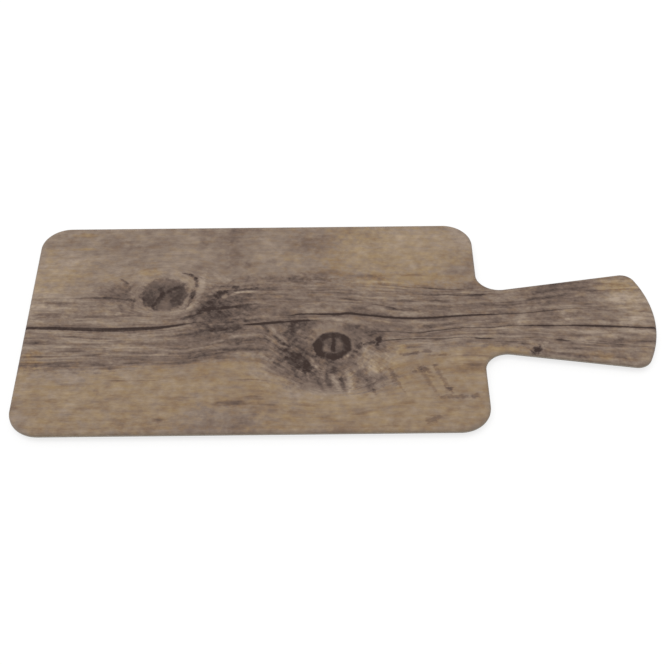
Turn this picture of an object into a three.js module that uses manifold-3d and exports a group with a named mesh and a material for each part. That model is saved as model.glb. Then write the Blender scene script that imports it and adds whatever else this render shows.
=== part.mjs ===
// A melamine serving board with a flared paddle handle.
// A compression-moulded melamine core carries a printed decor foil, which is pressed flush into its top
// face and wraps over the rolled edge. A foot rim is moulded under the body, and its four corners swell
// into round pads, each with a well that holds a silicone foot.
// Millimetres, +Z up. The origin is on the table, under the middle of the board's overall length and width.
// The handle points to +X.
import * as THREE from "three";
import { mergeVertices } from "three/addons/utils/BufferGeometryUtils.js";
import Module from "manifold-3d";

// Driving dimensions of the outline, seen from above
const BODY_LENGTH = 300; // the rectangle without the handle
const BODY_WIDTH = 190;
const CORNER_RADIUS = 20; // the four corners of the body
const HANDLE_LENGTH = 115; // from the body's end to the handle's tip
const HANDLE_ROOT_WIDTH = 52.5; // between the handle's sides where they meet the body's end
const HANDLE_END_WIDTH = 90; // between the same two sides where they pass the handle's tip
const HANDLE_END_RADIUS = 87; // the bowed end of the handle
const HANDLE_CORNER_RADIUS = 10; // where the bowed end turns into the sides
const NECK_FILLET_RADIUS = 15; // the hollow between the body and the handle

// Driving dimensions of the edge, seen in section
const PLATE_THICKNESS = 5;
const EDGE_TOP_RADIUS = 2.5; // the rolled edge that the foil wraps over
const EDGE_BOTTOM_RADIUS = 1.6;
const FOIL_THICKNESS = 0.4;
const FOIL_SKIRT = 0.5; // straight part of the foil below the rolled edge

// Driving dimensions of the underside
const RIM_INSET = 12; // from the body's edge to the rim's outer wall
const RIM_HEIGHT = 3;
const RIM_WIDTH = 4; // across the rim's flat bottom
const RIM_DRAFT = 0.6; // how far each wall of the rim leans out over its height
const RIM_EDGE = 0.6; // bevel along the rim's bottom
const RIM_ROOT_RADIUS = 1; // fillet between the rim and the plate
const WELL_DEPTH = 1.2; // the seat of a foot, sunk into its pad
const FOOT_RADIUS = 6;
const FOOT_PROUD = 1.5; // how far a foot stands out below the rim
const FOOT_EDGE_RADIUS = 0.8;
const FOOT_CLEARANCE = 0.3; // between a foot and the wall of its well
const PAD_WALL = 5.7; // of the round pad, about its well

// How finely the round stretches are cut into facets
const CORNER_STEPS = 10;
const NECK_STEPS = 8;
const END_STEPS = 16;
const EDGE_STEPS = 5;
const ROOT_STEPS = 3;
const PAD_STEPS = 40;
const FOOT_STEPS = 32;

// Places that follow from the dimensions
const RIGHT_ANGLE = Math.PI / 2;
const TIP_X = (BODY_LENGTH + HANDLE_LENGTH) / 2;
const BODY_END_X = TIP_X - HANDLE_LENGTH;
const BODY_CENTRE_X = BODY_END_X - BODY_LENGTH / 2;
const WELL_RADIUS = FOOT_RADIUS + FOOT_CLEARANCE;
const PAD_RADIUS = WELL_RADIUS + PAD_WALL;
const RIM_CORNER_RADIUS = PAD_RADIUS + RIM_WIDTH / 2; // the rim's outer wall runs round the pad
const RIM_CORNER_X = BODY_LENGTH / 2 - RIM_INSET - RIM_CORNER_RADIUS; // from the middle of the body
const RIM_CORNER_Y = BODY_WIDTH / 2 - RIM_INSET - RIM_CORNER_RADIUS;
const RIM_BOTTOM = FOOT_PROUD;
const WELL_FLOOR = RIM_BOTTOM + WELL_DEPTH; // what a foot is bonded to
const PLATE_BOTTOM = RIM_BOTTOM + RIM_HEIGHT;
const PLATE_TOP = PLATE_BOTTOM + PLATE_THICKNESS;
const ROLL_START = PLATE_TOP - EDGE_TOP_RADIUS; // where the rolled edge begins
const FOIL_EDGE = ROLL_START - FOIL_SKIRT; // the foil's lower edge, on a ledge of the core
const LOWER_ROLL = Math.min(EDGE_BOTTOM_RADIUS, FOIL_EDGE - PLATE_BOTTOM); // limited by the wall it is on

// An arc of an outline. turn is 1 where the outline bulges out and -1 where it hollows in, so that a ring
// inset from the outline has the same centres and only its radii change.
function arc(x, y, radius, from, to, steps, turn = 1) {
  return { x, y, radius, from, to, steps, turn };
}

// The same arc on the other side of the board's long axis, run through backwards.
function mirrored(a) {
  return arc(a.x, -a.y, a.radius, -a.to, -a.from, a.steps, a.turn);
}

// The paddle's outline as a list of arcs, anticlockwise from the handle's tip. The straight sides are the
// lines from the end of one arc to the start of the next.
function paddleArcs() {
  const flare = Math.atan2((HANDLE_END_WIDTH - HANDLE_ROOT_WIDTH) / 2, HANDLE_LENGTH);
  const along = new THREE.Vector2(Math.cos(flare), Math.sin(flare));
  const outward = new THREE.Vector2(-along.y, along.x);
  const root = new THREE.Vector2(BODY_END_X, HANDLE_ROOT_WIDTH / 2);
  const endCentre = new THREE.Vector2(TIP_X - HANDLE_END_RADIUS, 0);

  // The corner's circle touches the side from inside, and the bowed end from inside
  const start = root.clone().addScaledVector(outward, -HANDLE_CORNER_RADIUS);
  const offset = start.clone().sub(endCentre);
  const reach = HANDLE_END_RADIUS - HANDLE_CORNER_RADIUS;
  const ahead = offset.dot(along);
  const travel = -ahead + Math.sqrt(ahead * ahead - offset.lengthSq() + reach * reach);
  const corner = start.addScaledVector(along, travel);
  const endAngle = corner.clone().sub(endCentre).angle();

  // The neck's circle touches the side from outside, and the body's end
  const neckX = BODY_END_X + NECK_FILLET_RADIUS;
  const neckShift = (neckX - root.x - NECK_FILLET_RADIUS * outward.x) / along.x;
  const neckY = root.y + neckShift * along.y + NECK_FILLET_RADIUS * outward.y;

  const cornerX = BODY_LENGTH / 2 - CORNER_RADIUS;
  const cornerY = BODY_WIDTH / 2 - CORNER_RADIUS;
  const sideAngle = RIGHT_ANGLE + flare;
  const half = [
    arc(corner.x, corner.y, HANDLE_CORNER_RADIUS, endAngle, sideAngle, NECK_STEPS),
    arc(neckX, neckY, NECK_FILLET_RADIUS, sideAngle + Math.PI, Math.PI, NECK_STEPS, -1),
    arc(BODY_CENTRE_X + cornerX, cornerY, CORNER_RADIUS, 0, RIGHT_ANGLE, CORNER_STEPS),
    arc(BODY_CENTRE_X - cornerX, cornerY, CORNER_RADIUS, RIGHT_ANGLE, Math.PI, CORNER_STEPS),
  ];
  const bow = arc(endCentre.x, 0, HANDLE_END_RADIUS, -endAngle, endAngle, END_STEPS);
  return [bow, ...half, ...half.map(mirrored).reverse()];
}

// The foot rim's outline at its outer wall: a rounded rectangle under the body.
function rimArcs() {
  const places = [[1, 1], [-1, 1], [-1, -1], [1, -1]];
  return places.map(([sx, sy], i) => {
    const start = i * RIGHT_ANGLE;
    const x = BODY_CENTRE_X + sx * RIM_CORNER_X;
    return arc(x, sy * RIM_CORNER_Y, RIM_CORNER_RADIUS, start, start + RIGHT_ANGLE, CORNER_STEPS);
  });
}

// One ring of an outline, moved in by inset, at a height. Two arcs that run into each other share one point.
function ring(arcs, inset, z) {
  const points = [];
  for (const a of arcs) {
    const radius = a.radius - a.turn * inset;
    for (let i = 0; i <= a.steps; i += 1) {
      const angle = a.from + ((a.to - a.from) * i) / a.steps;
      points.push(new THREE.Vector3(a.x + radius * Math.cos(angle), a.y + radius * Math.sin(angle), z));
    }
  }
  const touching = 1e-6;
  return points.filter((p, i) => p.distanceTo(points[(i + 1) % points.length]) > touching);
}

// A solid through a row of rings. It is capped at both ends, or runs round into itself when it is a hoop.
function loft(rings, hoop = false) {
  const count = rings[0].length;
  const positions = rings.flat().flatMap((p) => [p.x, p.y, p.z]);
  const faces = [];
  const spans = hoop ? rings.length : rings.length - 1;
  for (let r = 0; r < spans; r += 1) {
    const low = r * count;
    const high = ((r + 1) % rings.length) * count;
    for (let i = 0; i < count; i += 1) {
      const next = (i + 1) % count;
      faces.push(low + i, low + next, high + next);
      faces.push(low + i, high + next, high + i);
    }
  }
  if (!hoop) {
    const top = (rings.length - 1) * count;
    for (const [a, b, c] of THREE.ShapeUtils.triangulateShape(rings[0], [])) {
      faces.push(c, b, a);
    }
    for (const [a, b, c] of THREE.ShapeUtils.triangulateShape(rings.at(-1), [])) {
      faces.push(top + a, top + b, top + c);
    }
  }
  const geometry = new THREE.BufferGeometry();
  geometry.setAttribute("position", new THREE.Float32BufferAttribute(positions, 3));
  geometry.setIndex(faces);
  return geometry;
}

// The steps of a quarter turn, as angles.
function quarterTurn(steps) {
  return Array.from({ length: steps + 1 }, (_, i) => (RIGHT_ANGLE * i) / steps);
}

// The rings of the rolled edge at a depth below the board's outer skin: depth 0 is the foil's outside, and
// the foil's thickness is where the foil meets the core. They run from the foil's edge up to the flat top.
function rolledEdge(arcs, depth) {
  const radius = EDGE_TOP_RADIUS - depth;
  const roll = quarterTurn(EDGE_STEPS).map((t) =>
    ring(arcs, EDGE_TOP_RADIUS - radius * Math.cos(t), ROLL_START + radius * Math.sin(t)),
  );
  return [ring(arcs, depth, FOIL_EDGE), ...roll];
}

// The underside of the edge, from the flat bottom out to the widest line.
function lowerEdge(arcs) {
  return quarterTurn(EDGE_STEPS).map((t) =>
    ring(arcs, LOWER_ROLL * (1 - Math.sin(t)), PLATE_BOTTOM + LOWER_ROLL * (1 - Math.cos(t))),
  );
}

const wasm = await Module();
wasm.setup();

// A closed geometry as a solid that can be joined and cut.
function solid(geometry) {
  const bare = geometry.clone();
  bare.deleteAttribute("normal");
  bare.deleteAttribute("uv");
  const merged = mergeVertices(bare);
  return new wasm.Manifold(
    new wasm.Mesh({
      numProp: 3,
      vertProperties: new Float32Array(merged.attributes.position.array),
      triVerts: new Uint32Array(merged.index.array),
    }),
  );
}

// A joined and cut solid as a geometry again.
function geometryOf(made) {
  const mesh = made.getMesh();
  const geometry = new THREE.BufferGeometry();
  geometry.setAttribute("position", new THREE.BufferAttribute(mesh.vertProperties, 3));
  geometry.setIndex(new THREE.BufferAttribute(mesh.triVerts, 1));
  return geometry;
}

// A turned piece about Z, from a profile of [radius, height] that runs from the axis at the bottom to the
// axis at the top.
function turned(profile, steps) {
  const points = profile.map(([radius, height]) => new THREE.Vector2(radius, height));
  return new THREE.LatheGeometry(points, steps).rotateX(RIGHT_ANGLE);
}

// The flank of the rim and of its pads as [distance out of the wall, height]: a bevel, a drafted wall and a
// fillet into the plate. The last point lies inside the plate, so that the two join.
function flank() {
  const buried = PLATE_BOTTOM + PLATE_THICKNESS / 2;
  const root = quarterTurn(ROOT_STEPS).map((t) => [
    RIM_DRAFT + RIM_ROOT_RADIUS * (1 - Math.cos(t)),
    PLATE_BOTTOM - RIM_ROOT_RADIUS * (1 - Math.sin(t)),
  ]);
  const foot = RIM_DRAFT + RIM_ROOT_RADIUS;
  return [[-RIM_EDGE, RIM_BOTTOM], [0, RIM_BOTTOM + RIM_EDGE], ...root, [foot, buried]];
}

// The foot rim: a hoop with a flank outside and one inside.
function footRim() {
  const arcs = rimArcs();
  const outside = flank().map(([out, z]) => ring(arcs, -out, z));
  const inside = flank().map(([out, z]) => ring(arcs, RIM_WIDTH + out, z));
  return loft([...outside, ...inside.reverse()], true);
}

// The round pad that fills a corner of the rim, out to the middle of the rim's wall.
function footPad() {
  const side = flank().map(([out, z]) => [PAD_RADIUS + out, z]);
  const top = side.at(-1)[1];
  return turned([[0, RIM_BOTTOM], ...side, [0, top]], PAD_STEPS);
}

// What is taken out of a pad for its foot to sit in.
function footWell() {
  const below = RIM_BOTTOM - WELL_DEPTH;
  const outline = [
    [0, below],
    [WELL_RADIUS, below],
    [WELL_RADIUS, WELL_FLOOR],
    [0, WELL_FLOOR],
  ];
  return turned(outline, PAD_STEPS);
}

// A silicone foot: a disc with rounded rims, standing on the table and reaching up to its well's floor.
function foot() {
  const inner = FOOT_RADIUS - FOOT_EDGE_RADIUS;
  const rim = quarterTurn(EDGE_STEPS).map((t) => [
    inner + FOOT_EDGE_RADIUS * Math.sin(t),
    FOOT_EDGE_RADIUS * (1 - Math.cos(t)),
  ]);
  return turned([[0, 0], ...rim, [FOOT_RADIUS, WELL_FLOOR], [0, WELL_FLOOR]], FOOT_STEPS);
}

// Where the feet stand: at the middle of the rim's four corners.
const FOOT_PLACES = {
  foot_front_left: [-1, -1],
  foot_front_right: [1, -1],
  foot_rear_left: [-1, 1],
  foot_rear_right: [1, 1],
};

function footPosition([sx, sy]) {
  return new THREE.Vector3(BODY_CENTRE_X + sx * RIM_CORNER_X, sy * RIM_CORNER_Y, 0);
}

// The core: a plate with a ledge round its edge for the foil, and the rim, pads and wells on its underside.
function melamineCore(arcs) {
  const belt = FOIL_EDGE - PLATE_BOTTOM > LOWER_ROLL ? [ring(arcs, 0, FOIL_EDGE)] : [];
  let core = solid(loft([...lowerEdge(arcs), ...belt, ...rolledEdge(arcs, FOIL_THICKNESS)]));
  core = core.add(solid(footRim()));
  for (const place of Object.values(FOOT_PLACES)) {
    const { x, y } = footPosition(place);
    core = core.add(solid(footPad().translate(x, y, 0)));
    core = core.subtract(solid(footWell().translate(x, y, 0)));
  }
  return geometryOf(core);
}

// The foil: a thin shell over the core's top and rolled edge, from its inside round its lower edge and up
// over its outside.
function decorFoil(arcs) {
  return loft([...rolledEdge(arcs, FOIL_THICKNESS).reverse(), ...rolledEdge(arcs, 0)]);
}

const printedFoil = new THREE.MeshStandardMaterial({ color: 0x8b7765, roughness: 0.5, metalness: 0 });
const melamine = new THREE.MeshStandardMaterial({ color: 0x9a8d80, roughness: 0.45, metalness: 0 });
const silicone = new THREE.MeshStandardMaterial({ color: 0x4a4440, roughness: 0.8, metalness: 0 });

function piece(name, geometry, material) {
  const mesh = new THREE.Mesh(geometry, material);
  mesh.name = name;
  return mesh;
}

const outline = paddleArcs();
const board = new THREE.Group();
board.name = "serving_board";
board.add(piece("melamine_core", melamineCore(outline), melamine));
board.add(piece("decor_foil", decorFoil(outline), printedFoil));
for (const [name, place] of Object.entries(FOOT_PLACES)) {
  const mesh = piece(name, foot(), silicone);
  mesh.position.copy(footPosition(place));
  board.add(mesh);
}

export default board;
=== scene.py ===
# %% [markdown]
# # A melamine serving board with a wood print
# The real board is one hot-pressed melamine moulding. A printed decor foil is pressed into its top and wraps
# over the rolled edge, a foot rim is moulded under the body, and four silicone feet sit in wells.
# This lesson dresses the packed CAD frame: finer meshes for the same pieces, and a wood print that is built
# from nodes only. Blender works in metres, so sizes that are written in millimetres are multiplied by MM.

# %% Load the frame
import math

import bpy
from mathutils import Matrix, Vector


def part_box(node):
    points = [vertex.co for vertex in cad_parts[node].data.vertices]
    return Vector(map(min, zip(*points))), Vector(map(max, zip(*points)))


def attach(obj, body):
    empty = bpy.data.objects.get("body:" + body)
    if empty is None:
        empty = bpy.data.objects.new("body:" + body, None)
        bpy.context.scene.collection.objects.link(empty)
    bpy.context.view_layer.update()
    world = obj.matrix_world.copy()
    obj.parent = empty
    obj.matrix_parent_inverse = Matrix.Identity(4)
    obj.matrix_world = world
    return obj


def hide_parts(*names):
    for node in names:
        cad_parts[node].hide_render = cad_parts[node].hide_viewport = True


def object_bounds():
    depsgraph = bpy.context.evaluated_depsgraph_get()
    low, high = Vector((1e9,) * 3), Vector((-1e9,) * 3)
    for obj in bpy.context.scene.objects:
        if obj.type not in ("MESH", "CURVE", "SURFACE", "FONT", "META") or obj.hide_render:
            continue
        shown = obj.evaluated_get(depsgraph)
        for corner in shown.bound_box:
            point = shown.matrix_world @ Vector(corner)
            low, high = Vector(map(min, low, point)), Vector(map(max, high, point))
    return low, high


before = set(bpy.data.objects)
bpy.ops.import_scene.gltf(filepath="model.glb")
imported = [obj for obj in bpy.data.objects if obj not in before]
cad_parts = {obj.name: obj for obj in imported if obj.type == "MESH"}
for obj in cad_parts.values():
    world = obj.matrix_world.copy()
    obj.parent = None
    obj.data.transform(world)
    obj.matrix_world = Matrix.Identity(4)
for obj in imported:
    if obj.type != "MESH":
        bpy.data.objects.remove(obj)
CAD_BOX = [list(corner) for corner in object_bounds()]
MM = 0.001
BODY = "root"


def in_mm(box):
    return [[round(c / MM, 2) for c in corner] for corner in box]


print("CAD nodes:", *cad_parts)
print("CAD box in mm:", in_mm(CAD_BOX))

# %% [markdown]
# ## The camera
# The photograph is a square frame, taken from the front at about 45 degrees. Its lens, distance and target
# were found by laying the board's outline over the photographed edge, so that the render and the photograph
# can be compared point by point. The target lies on the board's top face, in the middle of the picture.

# %% Set the camera
PHOTO_WIDTH = 665  # pixels, of the square photograph
FOCAL_PIXELS = 1414.5
SENSOR_WIDTH = 36.0  # mm
CAMERA_ELEVATION = math.radians(45.41)
CAMERA_YAW = math.radians(-0.367)
CAMERA_ROLL = math.radians(-0.347)
CAMERA_DISTANCE = 924.6 * MM
CAMERA_TARGET = Vector((-5.56 * MM, -11.1 * MM, CAD_BOX[1][2]))


def add_object(name, data):
    """Puts data into the scene, as an object at the origin."""
    made = bpy.data.objects.new(name, data)
    bpy.context.scene.collection.objects.link(made)
    return made


def aim_camera(camera):
    level = math.cos(CAMERA_ELEVATION)
    back = Vector((math.sin(CAMERA_YAW) * level, -math.cos(CAMERA_YAW) * level, math.sin(CAMERA_ELEVATION)))
    right = (-back).cross(Vector((0, 0, 1))).normalized()
    up = right.cross(-back)
    turn = Matrix.Rotation(CAMERA_ROLL, 3, back)
    axes = Matrix((turn @ right, turn @ up, back)).transposed().to_4x4()
    camera.matrix_world = Matrix.Translation(CAMERA_TARGET + back * CAMERA_DISTANCE) @ axes


camera = add_object("photo_camera", bpy.data.cameras.new("photo_camera"))
camera.data.sensor_width = SENSOR_WIDTH
camera.data.lens = SENSOR_WIDTH * FOCAL_PIXELS / PHOTO_WIDTH
aim_camera(camera)
bpy.context.scene.camera = camera
print("camera at", [round(c, 3) for c in camera.location], "lens", round(camera.data.lens, 2), "mm")

# %% [markdown]
# ## The outline
# Seen from above the paddle is a row of arcs joined by straight lines. It could be one curve drawn by hand,
# but then every ring of the rolled edge would need a drawing of its own. Here each arc keeps its centre when
# the outline is inset, and only its radius changes: bulging arcs shrink and the hollow neck arcs grow. One
# function can then give every ring, each with the same number of points.

# %% Sizes of the outline, in millimetres
HANDLE_LENGTH = 115.0
HANDLE_ROOT_WIDTH = 52.5
HANDLE_END_WIDTH = 90.0
HANDLE_END_RADIUS = 87.0
HANDLE_CORNER_RADIUS = 10.0
NECK_FILLET_RADIUS = 15.0
CORNER_RADIUS = 20.0
FOIL_LOW, FOIL_HIGH = (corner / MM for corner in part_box("decor_foil"))
CORE_LOW, CORE_HIGH = (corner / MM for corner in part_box("melamine_core"))
BODY_WIDTH = FOIL_HIGH.y - FOIL_LOW.y
BODY_LENGTH = FOIL_HIGH.x - FOIL_LOW.x - HANDLE_LENGTH
BODY_CENTRE_X = FOIL_LOW.x + BODY_LENGTH / 2
print("body", round(BODY_LENGTH, 1), "x", round(BODY_WIDTH, 1), "mm, handle", HANDLE_LENGTH, "mm")

# %% Arcs of the outline, from the middle of the body
RIGHT_ANGLE = math.pi / 2
CORNER_STEPS = 24
BOW_STEPS = 48


def arc(x, y, radius, start, end, steps, turn=1):
    return {"x": x, "y": y, "radius": radius, "start": start, "end": end, "steps": steps, "turn": turn}


def mirrored(a):
    return arc(a["x"], -a["y"], a["radius"], -a["end"], -a["start"], a["steps"], a["turn"])


def paddle_arcs():
    flare = math.atan2((HANDLE_END_WIDTH - HANDLE_ROOT_WIDTH) / 2, HANDLE_LENGTH)
    along = Vector((math.cos(flare), math.sin(flare)))
    outward = Vector((-along.y, along.x))
    root = Vector((BODY_LENGTH / 2, HANDLE_ROOT_WIDTH / 2))
    bow_centre = Vector((BODY_LENGTH / 2 + HANDLE_LENGTH - HANDLE_END_RADIUS, 0))
    start = root - outward * HANDLE_CORNER_RADIUS
    offset = start - bow_centre
    ahead = offset.dot(along)
    reach = HANDLE_END_RADIUS - HANDLE_CORNER_RADIUS
    corner = start + along * (math.sqrt(ahead**2 - offset.length_squared + reach**2) - ahead)
    bow_angle = math.atan2(corner.y, corner.x - bow_centre.x)
    neck_x = BODY_LENGTH / 2 + NECK_FILLET_RADIUS
    shift = (neck_x - root.x - NECK_FILLET_RADIUS * outward.x) / along.x
    neck_y = root.y + shift * along.y + NECK_FILLET_RADIUS * outward.y
    side = RIGHT_ANGLE + flare
    x = BODY_LENGTH / 2 - CORNER_RADIUS
    y = BODY_WIDTH / 2 - CORNER_RADIUS
    half = [
        arc(corner.x, corner.y, HANDLE_CORNER_RADIUS, bow_angle, side, CORNER_STEPS),
        arc(neck_x, neck_y, NECK_FILLET_RADIUS, side + math.pi, math.pi, CORNER_STEPS, -1),
        arc(x, y, CORNER_RADIUS, 0, RIGHT_ANGLE, CORNER_STEPS),
        arc(-x, y, CORNER_RADIUS, RIGHT_ANGLE, math.pi, CORNER_STEPS),
    ]
    bow = arc(bow_centre.x, 0, HANDLE_END_RADIUS, -bow_angle, bow_angle, BOW_STEPS)
    return [bow, *half, *[mirrored(a) for a in reversed(half)]]


PADDLE = paddle_arcs()
print("outline:", len(PADDLE), "arcs")

# %% Rings of the outline
TOUCHING = 1e-3  # mm; points nearer than this are one point


def ring(arcs, inset):
    points = []
    for a in arcs:
        radius = a["radius"] - a["turn"] * inset
        for i in range(a["steps"] + 1):
            angle = a["start"] + (a["end"] - a["start"]) * i / a["steps"]
            points.append(Vector((a["x"] + radius * math.cos(angle), a["y"] + radius * math.sin(angle))))
    return [p for p, q in zip(points, points[1:] + points[:1]) if (p - q).length > TOUCHING]


print("a ring has", len(ring(PADDLE, 0)), "points")

# %% [markdown]
# ## The foil and the core
# The foil is the thin printed skin, and the core is the moulding under it. A bevel could round two cut-out
# slabs, but it would not know how the paper lay. So both are lofts: a row of rings, each with an inset and a
# height, with a cap at each end. The foil runs from its inside face, round its lower edge and up over its
# outside. Where foil and core meet, both edges are broken by about a tenth of a millimetre, and that leaves
# the fine parting line of the real board.
# The foil also carries an attribute called print. It says where each point lies on the flat paper before it
# was pressed over the edge, in millimetres, so the grain runs over the roll without a smear. Its third
# number is how much paper lies between the point and the flat.

# %% Rows of the rolled edge
EDGE_TOP_RADIUS = 2.5
FOIL_THICKNESS = FOIL_HIGH.z - CORE_HIGH.z
FOIL_EDGE = FOIL_LOW.z
PLATE_TOP = FOIL_HIGH.z
ROLL_START = PLATE_TOP - EDGE_TOP_RADIUS
FLAT_MARGIN = 1.0  # a ring on the flat, just inside the roll, that keeps the flat's shading flat
ROLL_STEPS = 10


def quarter_turn(steps):
    return [RIGHT_ANGLE * i / steps for i in range(steps + 1)]


def rolled_edge(depth):
    """Rows of (inset, height, inset on the flat paper) from the foil's edge up to the flat top."""
    radius = EDGE_TOP_RADIUS - depth
    rows = []
    for t in quarter_turn(ROLL_STEPS):
        unrolled = EDGE_TOP_RADIUS * (1 + t - RIGHT_ANGLE)
        rows.append((EDGE_TOP_RADIUS - radius * math.cos(t), ROLL_START + radius * math.sin(t), unrolled))
    flat = EDGE_TOP_RADIUS + FLAT_MARGIN
    return rows + [(flat, PLATE_TOP - depth, flat)]


outside = rolled_edge(0)
inside = rolled_edge(FOIL_THICKNESS)
print("rolled edge:", len(outside), "rows from", round(ROLL_START, 2), "to", round(PLATE_TOP, 2), "mm")

# %% Loft the foil
EDGE_BREAK = 0.12
SKIRT_PAPER = EDGE_TOP_RADIUS * (1 - RIGHT_ANGLE) - (ROLL_START - FOIL_EDGE)


def loft_faces(count, rows):
    """A cap, the bands between neighbouring rings, and a cap."""
    faces = [tuple(reversed(range(count)))]
    for low in range(0, (rows - 1) * count, count):
        for i in range(count):
            nxt = (i + 1) % count
            faces.append((low + i, low + nxt, low + nxt + count, low + i + count))
    faces.append(tuple(range((rows - 1) * count, rows * count)))
    return faces


def lay_on_paper(mesh, rows):
    """Keeps each point's place on the flat paper in the attribute print."""
    places = []
    for _, _, unrolled in rows:
        pulled = max(0, EDGE_TOP_RADIUS - unrolled)
        places += [(p.x, p.y, pulled) for p in ring(PADDLE, unrolled)]
    paper = mesh.attributes.new("print", "FLOAT_VECTOR", "POINT")
    for point, place in zip(paper.data, places):
        point.vector = place


def loft(name, rows):
    verts = []
    for inset, height, _ in rows:
        verts += [((p.x + BODY_CENTRE_X) * MM, p.y * MM, height * MM) for p in ring(PADDLE, inset)]
    mesh = bpy.data.meshes.new(name)
    mesh.from_pydata(verts, [], loft_faces(len(verts) // len(rows), len(rows)))
    lay_on_paper(mesh, rows)
    return add_object(name, mesh)


foil_lip = [
    (FOIL_THICKNESS, FOIL_EDGE, SKIRT_PAPER),
    (EDGE_BREAK, FOIL_EDGE, SKIRT_PAPER),
    (0, FOIL_EDGE + EDGE_BREAK, SKIRT_PAPER + EDGE_BREAK),
]
foil = loft("printed_foil", [*reversed(inside), *foil_lip, *outside])
print("foil", len(foil.data.polygons), "faces")

# %% Loft the plate of the core
EDGE_BOTTOM_RADIUS = 1.6
RIM_HEIGHT = 3.0
RIM_BOTTOM = CORE_LOW.z
PLATE_BOTTOM = RIM_BOTTOM + RIM_HEIGHT
lower_roll = [
    (EDGE_BOTTOM_RADIUS * (1 - math.sin(t)), PLATE_BOTTOM + EDGE_BOTTOM_RADIUS * (1 - math.cos(t)), 0)
    for t in quarter_turn(ROLL_STEPS)
]
core_lip = [(0, FOIL_EDGE - EDGE_BREAK, 0), (EDGE_BREAK, FOIL_EDGE, 0), (FOIL_THICKNESS, FOIL_EDGE, 0)]
bottom_flat = [(EDGE_BOTTOM_RADIUS + FLAT_MARGIN, PLATE_BOTTOM, 0)]
core = loft("melamine_body", [*bottom_flat, *lower_roll, *core_lip, *inside])
print("plate", len(core.data.polygons), "faces")

# %% [markdown]
# ## The underside
# A foot rim follows a rounded rectangle under the body, and four round pads with wells repeat at its
# corners. They could be modelled one by one, but what follows a path or repeats is work for Geometry Nodes:
# the rim is a section swept along a path, and the pads and wells are copies on the four points of a grid. A
# boolean in the same tree joins them to the plate, so the moulding is one closed mesh, as the real one is.

# %% A helper that adds nodes to a tree and wires them
NODES_IN_ROW = 12
NODE_STEP_X, NODE_STEP_Y = 190, -260


class Wiring:
    """Adds nodes to one tree. An input may be a plain value or another node's socket."""

    def __init__(self, tree):
        self.tree = tree
        self.placed = 0

    def add(self, kind, inputs=None, **settings):
        node = self.tree.nodes.new(kind)
        node.location = (self.placed % NODES_IN_ROW * NODE_STEP_X, self.placed // NODES_IN_ROW * NODE_STEP_Y)
        self.placed += 1
        for name, value in settings.items():
            setattr(node, name, value)
        for key, value in (inputs or {}).items():
            self.feed(node.inputs[key], value)
        return node

    def feed(self, socket, value):
        if isinstance(value, bpy.types.NodeSocket):
            self.tree.links.new(value, socket)
        else:
            socket.default_value = value

    def math(self, operation, *values):
        return self.add("ShaderNodeMath", dict(enumerate(values)), operation=operation).outputs[0]

    def vector(self, operation, *values):
        node = self.add("ShaderNodeVectorMath", dict(enumerate(values)), operation=operation)
        return node.outputs["Value" if operation == "LENGTH" else "Vector"]

    def remap(self, value, low, high, to_low=0.0, to_high=1.0, smooth=False):
        keys = ("Value", "From Min", "From Max", "To Min", "To Max")
        kind = "SMOOTHSTEP" if smooth else "LINEAR"
        inputs = dict(zip(keys, (value, low, high, to_low, to_high)))
        return self.add("ShaderNodeMapRange", inputs, interpolation_type=kind).outputs["Result"]

    def combine(self, x, y, z=0.0):
        return self.add("ShaderNodeCombineXYZ", {"X": x, "Y": y, "Z": z}).outputs["Vector"]


print("Wiring can", *[verb for verb in vars(Wiring) if not verb.startswith("_")])

# %% Node groups with named sockets, and a modifier that runs one
FLOAT = "NodeSocketFloat"
VECTOR = "NodeSocketVector"
OBJECT = "NodeSocketObject"
GEOMETRY = "NodeSocketGeometry"
MATERIAL = "NodeSocketMaterial"
SHAPING = "GeometryNodeTree"
SHAPED = [("Geometry", GEOMETRY)]


def new_tree(name, kind, inputs, outputs):
    """A node group with named sockets, each given as (name, socket type, default value)."""
    tree = bpy.data.node_groups.new(name, kind)
    for socket_name, socket_type, default in inputs:
        socket = tree.interface.new_socket(name=socket_name, in_out="INPUT", socket_type=socket_type)
        if default is not None:
            socket.default_value = default
    for socket_name, socket_type in outputs:
        tree.interface.new_socket(name=socket_name, in_out="OUTPUT", socket_type=socket_type)
    wiring = Wiring(tree)
    return wiring, wiring.add("NodeGroupInput").outputs, wiring.add("NodeGroupOutput").inputs


def apply_modifiers(piece):
    """Keeps what a piece's modifiers make as its plain mesh."""
    evaluated = piece.evaluated_get(bpy.context.evaluated_depsgraph_get())
    mesh = bpy.data.meshes.new_from_object(evaluated)
    mesh.name = piece.name
    piece.modifiers.clear()
    piece.data = mesh


def run_tree(piece, tree, values):
    modifier = piece.modifiers.new(tree.name, "NODES")
    modifier.node_group = tree
    for item in tree.interface.items_tree:
        if item.in_out == "INPUT" and item.name in values:
            modifier[item.identifier] = values[item.name]
    apply_modifiers(piece)


print("a", SHAPING, "can be given", FLOAT, VECTOR, OBJECT, GEOMETRY, MATERIAL)

# %% The section of the rim
RIM_INSET = 12.0
RIM_WIDTH = 4.0
RIM_DRAFT = 0.6
RIM_EDGE = 0.6
RIM_ROOT_RADIUS = 1.0
ROOT_STEPS = 5


def flank():
    """The side of the rim and of its pads, as (distance out of the wall, height)."""
    root = [
        (RIM_DRAFT + RIM_ROOT_RADIUS * (1 - math.cos(t)), PLATE_BOTTOM - RIM_ROOT_RADIUS * (1 - math.sin(t)))
        for t in quarter_turn(ROOT_STEPS)
    ]
    buried = (PLATE_BOTTOM + FOIL_EDGE) / 2
    bevel = [(-RIM_EDGE, RIM_BOTTOM), (0, RIM_BOTTOM + RIM_EDGE)]
    return [*bevel, *root, (RIM_DRAFT + RIM_ROOT_RADIUS, buried)]


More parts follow.
